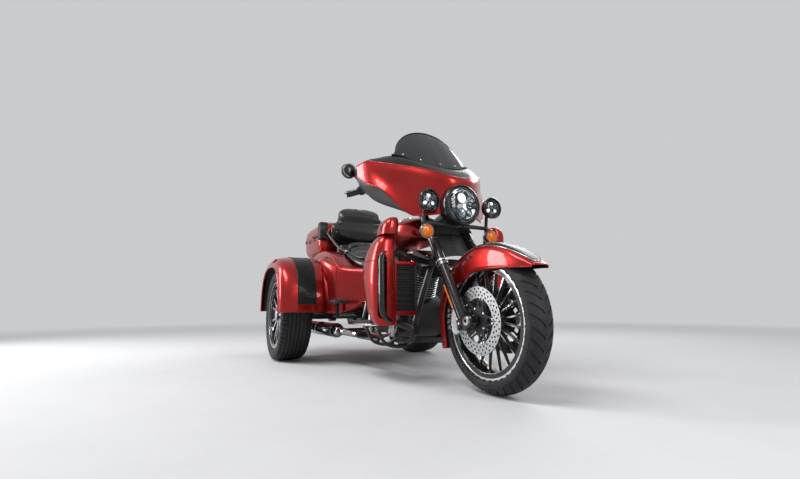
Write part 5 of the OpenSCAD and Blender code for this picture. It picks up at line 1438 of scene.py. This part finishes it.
def door():
    body = "rear_door"
    x = -1.329
    z = .549
    frame_x = x - .0004
    place = Matrix(((0, 0, -1, frame_x), (-1, 0, 0, 0), (0, 1, 0, .5715), (0, 0, 0, 1)))
    slab("trunk_door_skin", [rounded(.770, .288, .030, 8), rounded(.196, .122, .010, 4, 0, z - .5715)],
         .003, body, RED, place, .001)
    slab("plate_blank",
         [rounded(.184, .104, .006)]
         + [circle(.0032, 12, sx * .073, sz * .035) for sx in (-1, 1) for sz in (-1, 1)], .0016, body,
         MACHINED, Matrix(((0, 0, -1, -1.3352), (-1, 0, 0, 0), (0, 1, 0, z), (0, 0, 0, 1))), .0004)
    bolts("plate_screws",
          [((-1.336, sy * .073, z + sz * .035), (-1, 0, 0)) for sy in (-1, 1) for sz in (-1, 1)], .0045,
          body, CHROME)
    swept("trunk_handle",
          smooth_path([(-1.330, -.340, .575), (-1.343, -.336, .575), (-1.346, -.320, .575),
                       (-1.346, -.270, .575), (-1.343, -.254, .575), (-1.330, -.250, .575)], 24), .0062,
          body, CHROME, sides=12)
    swept("plate_lamp",
          smooth_path([(-1.333, -.060, z + .068), (-1.342, -.050, z + .070), (-1.342, .050, z + .070),
                       (-1.333, .060, z + .068)], 16), .0060, body, PLASTIC, sides=10)


# Columns: share of the way out, drop of the arch in millimetres
FENDER_OUT = np.array([[0, 0], [.25, 0], [.5, 0], [.7, 2], [.8, 6], [.88, 13], [.94, 26], [.98, 44],
                       [1, 72]], float)


def arch(a, share, lift=0.0):
    """Point of a rear fender on the left side: angle from the front, share of the way out."""
    s = row_at(FENDER_OUT, share)[0]
    c, n = math.cos(a), math.sin(a)
    ax, bz = (430 if c > 0 else 392) - s, 398.5 - s
    x, z = ax * signed(c, .74) / 1000, bz * abs(n) ** .74 / 1000 + .022
    r = math.hypot(x, z)
    return np.array([REAR_X + x * (1 + lift / r), .4003 + .2947 * share, REAR_Z + z * (1 + lift / r)])


def rear_fenders():
    body = "chassis"
    turn = math.pi * (1 - np.cos(np.linspace(0, math.pi, 61))) / 2
    out = [0, .12, .25, .4, .52, .62, .70, .76, .81, .85, .89, .92, .945, .965, .98, .99, .996, 1.0]

    def one(side, word):
        flip = (1, side, 1)
        grid = [[arch(a, q) * flip for a in turn] for q in out]
        shell = skin(f"rear_fender_{word}_shell", grid if side > 0 else grid[::-1], body, RED, .005, 1)
        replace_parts(shell, f"rear_fender_{word}")
        swept(f"rear_fender_lip_{word}", [arch(a, 1.0) * flip + (0, -side * .003, 0) for a in turn], .0065,
              body, RED, sides=10)
        rows = np.linspace(.19, .61, 10)
        front = np.radians(np.linspace(3.5, 104, 40))
        panel = [[arch(a, q, .0016) * flip for a in front] for q in rows]
        skin(f"rear_fender_black_{word}", panel if side > 0 else panel[::-1], body, PANEL, .0012, 1)
        ends = panel[0] + [row[-1] for row in panel[1:]]
        ends += panel[-1][-2::-1] + [row[0] for row in panel[-2:0:-1]]
        swept(f"rear_fender_line_{word}", ends, .0017, body, PLASTIC, sides=6, closed=True)
        c = arch(math.radians(80), .955) * flip
        tilt = (.06, side * .80, .60)
        slab(f"side_marker_{word}", [rounded(.052, .020, .009)], .012, body, RUBY, facing(c, tilt), .003)
        slab(f"side_marker_base_{word}", [rounded(.060, .028, .012)], .006, body, PLASTIC, facing(c, tilt),
             .001)
        liner = [[arch(a, q, -.012) * flip for a in turn] for q in (0.02, .5, .9)]
        skin(f"rear_fender_liner_{word}", liner if side > 0 else liner[::-1], body, LINER, .002, 1)
        lo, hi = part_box("tail_lamps")
        y0, y1 = (lo.y, lo.y + .130) if side < 0 else (hi.y - .130, hi.y)
        place = Matrix(((0, 0, -1, lo.x - .001), (-1, 0, 0, (y0 + y1) / 2), (0, 1, 0, (lo.z + hi.z) / 2),
                        (0, 0, 0, 1)))
        slab(f"tail_lamp_bezel_{word}", [rounded(.138, .072, .012), rounded(.116, .050, .008)], .008, body,
             CHROME, place, .002)
        for k in range(3):
            slab(f"tail_lamp_cell_{word}_{k}", [rounded(.030, .040, .006, 4, (k - 1) * .036, 0)], .006,
                 body, RUBY, place, .002)
    both(one)


# Soft pieces

def swell(obj, push, voxel=.006, frames=20, pressure=4.0):
    """Fills a closed pad with air as cloth and keeps the shape. No point moves further than push."""
    m = obj.modifiers.new("remesh", "REMESH")
    m.mode, m.voxel_size = "VOXEL", voxel
    deps = bpy.context.evaluated_depsgraph_get()
    mesh = bpy.data.meshes.new_from_object(obj.evaluated_get(deps))
    obj.modifiers.clear()
    obj.data = mesh
    start = np.zeros(len(mesh.vertices) * 3)
    mesh.vertices.foreach_get("co", start)
    start = start.reshape(-1, 3)
    c = obj.modifiers.new("air", "CLOTH")
    c.settings.use_pressure, c.settings.uniform_pressure_force = True, pressure
    c.settings.effector_weights.gravity = 0
    c.settings.quality, c.settings.mass = 5, .3
    c.settings.tension_stiffness = c.settings.compression_stiffness = 30
    c.point_cache.frame_start, c.point_cache.frame_end = 1, frames
    for f in range(1, frames + 1):
        scene.frame_set(f)
    deps = bpy.context.evaluated_depsgraph_get()
    done = obj.evaluated_get(deps)
    end = np.zeros(len(mesh.vertices) * 3)
    done.data.vertices.foreach_get("co", end)
    end = end.reshape(-1, 3)
    obj.modifiers.clear()
    scene.frame_set(1)
    move = end - start
    move -= move.mean(0)
    size = np.linalg.norm(move, axis=1)[:, None]
    move *= np.minimum(1, push / np.maximum(size, 1e-9))
    obj.data.vertices.foreach_set("co", (start + move).ravel())
    obj.data.polygons.foreach_set("use_smooth", [True] * len(obj.data.polygons))
    obj.data.update()


def pad(name, rings, push=.008):
    """Stuffed hide pad through rings of points."""
    obj = loft(name, rings, "chassis", HIDE)
    swell(obj, push)
    s = obj.modifiers.new("even", "SMOOTH")
    s.factor, s.iterations = .5, 4
    subdivide(obj, 1)
    return obj


def puffed(x, w, z0, z1, e, n=32):
    """Rounded ring across the bike at x."""
    ring = []
    for i in range(n):
        a = 2 * math.pi * (i + .5) / n
        c, s = math.cos(a), math.sin(a)
        ring.append((x, w * signed(c, 2 / e), (z0 + z1) / 2 + (z1 - z0) / 2 * signed(s, 2 / e)))
    return ring


# Columns: distance ahead of the rear axle, half-width, underside below the deck, top above it
SEAT = np.array([[112, 176, 0, 104], [150, 196, 0, 120], [300, 204, 0, 124], [352, 214, 20, 112],
                 [410, 216, 42, 42], [485, 208, 68, 10], [560, 190, 94, 0], [640, 150, 103, 0],
                 [670, 120, 106, 2], [704, 84, 45, 6]], float)


def seat_size(d):
    """Half-width, underside and top of the seat at a distance ahead of the rear axle."""
    w, low, top = (float(np.interp(d, SEAT[:, 0], SEAT[:, k])) / 1000 for k in (1, 2, 3))
    return w, SEAT_DECK - low, .735 + top


def seat():
    rider = []
    for d in (352, 362, 380, 405, 440, 485, 530, 575, 620, 650, 672, 690, 700):
        w, z0, z1 = seat_size(d)
        k = {352: .86, 362: .95, 690: .95, 700: .80}.get(d, 1.0)
        rider.append(puffed(REAR_X + d / 1000, (w - .006) * k, z0 + .045 + (1 - k) * .03,
                            z1 - .006 - (1 - k) * .04, 3.0))
    main = pad("rider_seat", rider, .009)
    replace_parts(main, "seat")
    pillion = []
    for d in (112, 122, 145, 190, 240, 290, 325, 345, 352):
        w, z0, z1 = seat_size(d)
        k = {112: .82, 122: .93, 345: .95, 352: .84}.get(d, 1.0)
        pillion.append(puffed(REAR_X + d / 1000, (w - .004) * k, SEAT_DECK + .034 + (1 - k) * .03,
                              z1 - .006 - (1 - k) * .05, 3.2))
    pad("passenger_seat", pillion, .009)
    base = []
    for d in np.linspace(114, 700, 24):
        w, z0, z1 = seat_size(d)
        drop = .022 * max(0.0, min(1.0, (d - 380) / 120))
        base.append(puffed(REAR_X + d / 1000, w + .006, z0 - drop, z0 + .068, 2.6, 28))
    loft("seat_pan", base, "chassis", HIDE, 1)
    for name, rows in (("rider_seat", np.linspace(372, 690, 30)),
                       ("passenger_seat", np.linspace(126, 340, 24))):
        for side, word in SIDES:
            line = []
            for d in rows:
                w, z0, z1 = seat_size(d)
                zz = max(z0, .735 if d < SEAT_SPLIT else z0)
                line.append((REAR_X + d / 1000, side * (w + .0005), zz + .058 + (z1 - zz - .058) * .30))
            swept(f"{name}_piping_{word}", line, .0042, "chassis", PIPING, sides=8)


def backrest():
    x0 = -.6865
    form = []
    for z, w, deep in ((.868, .185, .070), (.880, .225, .092), (.905, .248, .104), (.945, .258, .110),
                       (.985, .259, .110), (1.015, .255, .104), (1.034, .244, .098), (1.048, .224, .090),
                       (1.060, .210, .090), (1.080, .203, .096), (1.110, .197, .098), (1.140, .187, .094),
                       (1.164, .169, .085), (1.182, .139, .068), (1.192, .098, .046)):
        ring = []
        for a in around(44):
            c, k = math.cos(a), math.sin(a)
            wrap = .062 * abs(w * k / .25) ** 2.2 * (1 if c > -.4 else .55)
            ring.append((x0 + .004 + deep * .5 * (1 + signed(c, .8)) + wrap, w * signed(k, .72), z))
        form.append(ring)
    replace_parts(pad("backrest_pad", form, .012), "backrest")
    fold = [(x0 + .100 + .050 * abs(y / .24) ** 2.2, y, 1.048 - .014 * (y / .2) ** 2)
            for y in np.linspace(-.195, .195, 40)]
    swept("head_pad_piping", fold, .0034, "chassis", PIPING, sides=8)
    lower = []
    for z, w, deep in ((.752, .150, .090), (.762, .176, .112), (.800, .188, .122), (.842, .190, .118),
                       (.872, .190, .104), (.892, .180, .080)):
        lower.append([(x0 + .012 + deep * .5 + deep * .5 * signed(c, .8), w * signed(s, .75), z)
                      for c, s in [(math.cos(a), math.sin(a)) for a in around(32)]])
    loft("backrest_valance", lower, "chassis", HIDE, 1)
    seam = [(x0 + .108 + .050 * abs(y / .24) ** 2.2, y, .962 + .012 * math.cos(y * 8))
            for y in np.linspace(-.225, .225, 40)]
    swept("backrest_piping", seam, .0034, "chassis", PIPING, sides=8)
    block("backrest_mount", (-.7145, -.090, .890), (-.6790, .090, .936), "chassis", POWDER, .006)
    for side, word in SIDES:
        bar = smooth_path([(-.650, side * .270, .985), (-.585, side * .283, .960),
                           (-.480, side * .268, .880), (-.370, side * .240, .800),
                           (-.335, side * .216, .776)], 28)
        swept(f"grab_rail_{word}", bar, .0095, "chassis", POWDER, sides=12)
        turned(f"grab_rail_foot_{word}", [(.0, -.008), (.017, -.008), (.019, .0), (.017, .008), (0, .008)],
               bar[-1], "chassis", CHROME, "Y", 24)


# Top case

def case_ring(z, shrink, lift=.0012, n=8):
    """Outline of the top case at a height, drawn in by shrink."""
    front, rear, half, r = -.6945 - shrink + lift, -1.1995 + shrink - lift, .305 - shrink + lift, .070
    ring = []
    for q, (sx, sy) in enumerate(((1, 1), (-1, 1), (-1, -1), (1, -1))):
        for i in range(n + 1):
            a = math.radians(q * 90 + 90 * i / n)
            ring.append(((front - r if sx > 0 else rear + r) + r * math.cos(a),
                         sy * (half - r) + r * math.sin(a), z))
    return ring


def top_case():
    base_rows = np.array([[0, 40], [.12, 20], [.25, 11], [.4, 6], [.7, 2], [1, 0]], float)
    lid_rows = np.array([[0, 60], [.12, 34], [.25, 19], [.4, 10], [.7, 3], [1, 0]], float)
    base = [case_ring(.8045, .080), case_ring(.8047, .050)]
    base += [case_ring(.806 + .142 * t, row_at(base_rows, t)[0] / 1000)
             for t in (0.01, .06, .12, .2, .3, .4, .55, .75, .93)]
    g = np.array(base)
    obj = piece("top_case_base", g.reshape(-1, 3),
                grid_faces(len(g), g.shape[1], wrap_cols=True) + [tuple(range(g.shape[1]))[::-1]],
                "chassis", RED)
    upright(obj)
    crisp(thicken(obj, .0010), 40)
    lid = [case_ring(1.076 - .127 * t, row_at(lid_rows, t)[0] / 1000)
           for t in (.93, .75, .55, .4, .3, .2, .12, .06, .02, 0)]
    lid += [case_ring(1.0795, .085), case_ring(1.0830, .130)]
    lid.append([(x * .5 - .947 * .5, y * .5, z + .001) for x, y, z in lid[-1]])
    g = np.array(lid)
    obj = piece("top_case_lid", g.reshape(-1, 3),
                grid_faces(len(g), g.shape[1], wrap_cols=True)
                + [tuple(len(g) * g.shape[1] - 1 - i for i in range(g.shape[1]))], "top_case_lid", RED)
    upright(obj)
    thicken(obj, .0010)
    crisp(obj, 40)
    for name, body, z, m, r in (("top_case_band", "chassis", .9425, PLASTIC, .0048),
                                ("top_case_chrome", "chassis", .9345, CHROME, .0026),
                                ("top_case_lid_band", "top_case_lid", .9545, PLASTIC, .0042)):
        ring = [np.array(p) for p in case_ring(z, .0, .0016, 10)]
        swept(name, ring, r, body, m, sides=8, closed=True)
    for k, x in enumerate((-.82, -1.07)):
        block(f"top_case_latch_{k}", (x - .026, .3040, .914), (x + .026, .3160, .946), "chassis", CHROME,
              .004)
        block(f"top_case_catch_{k}", (x - .020, .3040, .952), (x + .020, .3130, .972), "top_case_lid",
              CHROME, .003)
    for side, word in SIDES:
        pod = block(f"speaker_pod_{word}", (-.6880, side * .262, .906), (-.6215, side * .331, 1.050),
                    "chassis", PLASTIC, .014, 4)
        if side < 0:
            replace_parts(pod, "speaker_pods")
        block(f"speaker_bracket_{word}", (-.690, side * .270, .910), (-.7000, side * .300, .934), "chassis",
              POWDER, .003)
        turned(f"speaker_grille_{word}",
               [(.030, -.004), (.031, .003), (.027, .0055), (.0255, .0035), (.012, .0065), (0, .0072)],
               (-.6215, side * .2965, .992), "chassis", GRILLE, "X", 40)


# Rider controls and small pieces

def controls():
    body = "front_end"

    def one(side, word):
        a, b = mm(-640, side * 300, 1070), mm(-744, side * 420, 1040)
        u = (b - a) / np.linalg.norm(b - a)
        reach = np.linspace(.100, .1715, 46)
        ribs = [.0186 + .0012 * (1 if (k // 2) % 2 else 0) for k in range(46)]
        ribs[0] = ribs[-1] = .0198
        swept(f"grip_{word}", [a + u * s for s in reach], ribs, body, PAD, sides=24)
        swept(f"grip_end_{word}", [a + u * s for s in (.1705, .1715, .1760, .1775)],
              [.0196, .0200, .0196, .0165], body, CHROME, sides=24)
        fwd = np.array([.768, side * .64, 0])
        lever = smooth_path([a + u * .088 + fwd * .026, a + u * .098 + fwd * .034,
                             a + u * .130 + fwd * .036, a + u * .165 + fwd * .030,
                             a + u * .178 + fwd * .030], 24)
        swept(f"lever_{word}", lever, np.r_[np.linspace(.0066, .0056, 20), .0056, .0064, .0074, .0060],
              body, DARK_CHROME, sides=12, flat=.8)
        c = a + u * .070 + np.array([0, 0, .026])
        block(f"reservoir_{word}", c - (.026, .020, .004), c + (.026, .020, .020), body, BLACK, .005)
        h = mm(-700, side * 437, 1168)
        turned(f"mirror_bowl_{word}",
               [(0, .016), (.020, .0145), (.036, .008), (.0445, -.002), (.0462, -.010), (.0448, -.015),
                (.041, -.0165)], h, body, BLACK, "X", 48)
        turned(f"mirror_glass_{word}", [(0, -.0170), (.030, -.0166), (.0415, -.0160)], h, body, MIRROR, "X",
               48)
    both(one)


def boards():
    body = "chassis"

    def one(side, word):
        x0, x1 = FRONT_X - .770, FRONT_X - .470
        y0, y1 = side * .284, side * .406
        cy = (y0 + y1) / 2
        board = block(f"footboard_{word}", (x0, y0, .285), (x1, y1, .3005), body, POWDER, .006)
        if side < 0:
            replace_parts(board, "footboards")
        for k, dx in enumerate((-.703, -.547)):
            arm = smooth_path([(FRONT_X + dx, side * .150, .171), (FRONT_X + dx, side * .220, .172),
                               (FRONT_X + dx + .006, side * .285, .196),
                               (FRONT_X + dx + .010, side * .312, .240),
                               (FRONT_X + dx + .010, side * .330, .286)], 18)
            swept(f"footboard_arm_{word}_{k}", arm, np.linspace(.0115, .0085, 18), body, POWDER, sides=12)
            turned(f"footboard_pivot_{word}_{k}",
                   [(0, -.017), (.013, -.017), (.0155, -.012), (.0155, .012), (.013, .017), (0, .017)],
                   (FRONT_X + dx + .010, side * .326, .274), body, DARK_CHROME, "X", 24)
        block(f"footboard_pad_{word}", (x0 + .010, y0 + side * .008, .2995),
              (x1 - .010, y1 - side * .008, .3045), body, PAD, .003)
        for k in range(7):
            y = y0 + side * (.018 + .0145 * k)
            block(f"footboard_rib_{word}_{k}", (x0 + .022, y - .0035, .3035), (x1 - .022, y + .0035, .3085),
                  body, PAD, .002, 2)
        loop = [(x, y, .2915)
                for x, y in [(p[0] + (x0 + x1) / 2, p[1] + cy) for p in rounded(.306, .128, .030, 8)]]
        swept(f"footboard_edge_{word}", loop, .0060, body, CHROME, sides=10, closed=True)
        px0, px1 = REAR_X + .545, REAR_X + .685
        loop = [(p[0] + (px0 + px1) / 2, side * .368 + p[1], .410) for p in rounded(.146, .098, .024, 8)]
        swept(f"passenger_board_edge_{word}", loop, .0055, body, BLACK, sides=10, closed=True)
        block(f"passenger_pad_{word}", (px0 + .006, side * .328, .4175), (px1 - .006, side * .408, .4225),
              body, PAD, .003)
        for k in range(5):
            y = side * (.338 + .0150 * k)
            block(f"passenger_rib_{word}_{k}", (px0 + .014, y - .003, .4215), (px1 - .014, y + .003, .4260),
                  body, PAD, .002, 2)
    both(one)
    rod = smooth_path([mm(-760, -318, 306), mm(-738, -322, 330), mm(-716, -325, 358), mm(-698, -326, 392),
                       mm(-690, -322, 420), mm(-694, -300, 432), mm(-700, -262, 432), mm(-704, -168, 430)],
                      36)
    swept("brake_pedal_rod", rod, .0070, body, CHROME, sides=12)
    block("brake_pedal_pad", mm(-786, -346, 306), mm(-730, -300, 316), body, PAD, .004)
    rod = smooth_path([mm(-500, 300, 312), mm(-520, 296, 344), mm(-560, 262, 356), mm(-640, 220, 352),
                       mm(-720, 200, 346)], 36)
    swept("gear_lever_rod", rod, .0065, body, CHROME, sides=12)


trunk()
rear_fenders()
seat()
backrest()
top_case()
controls()
boards()


stage()
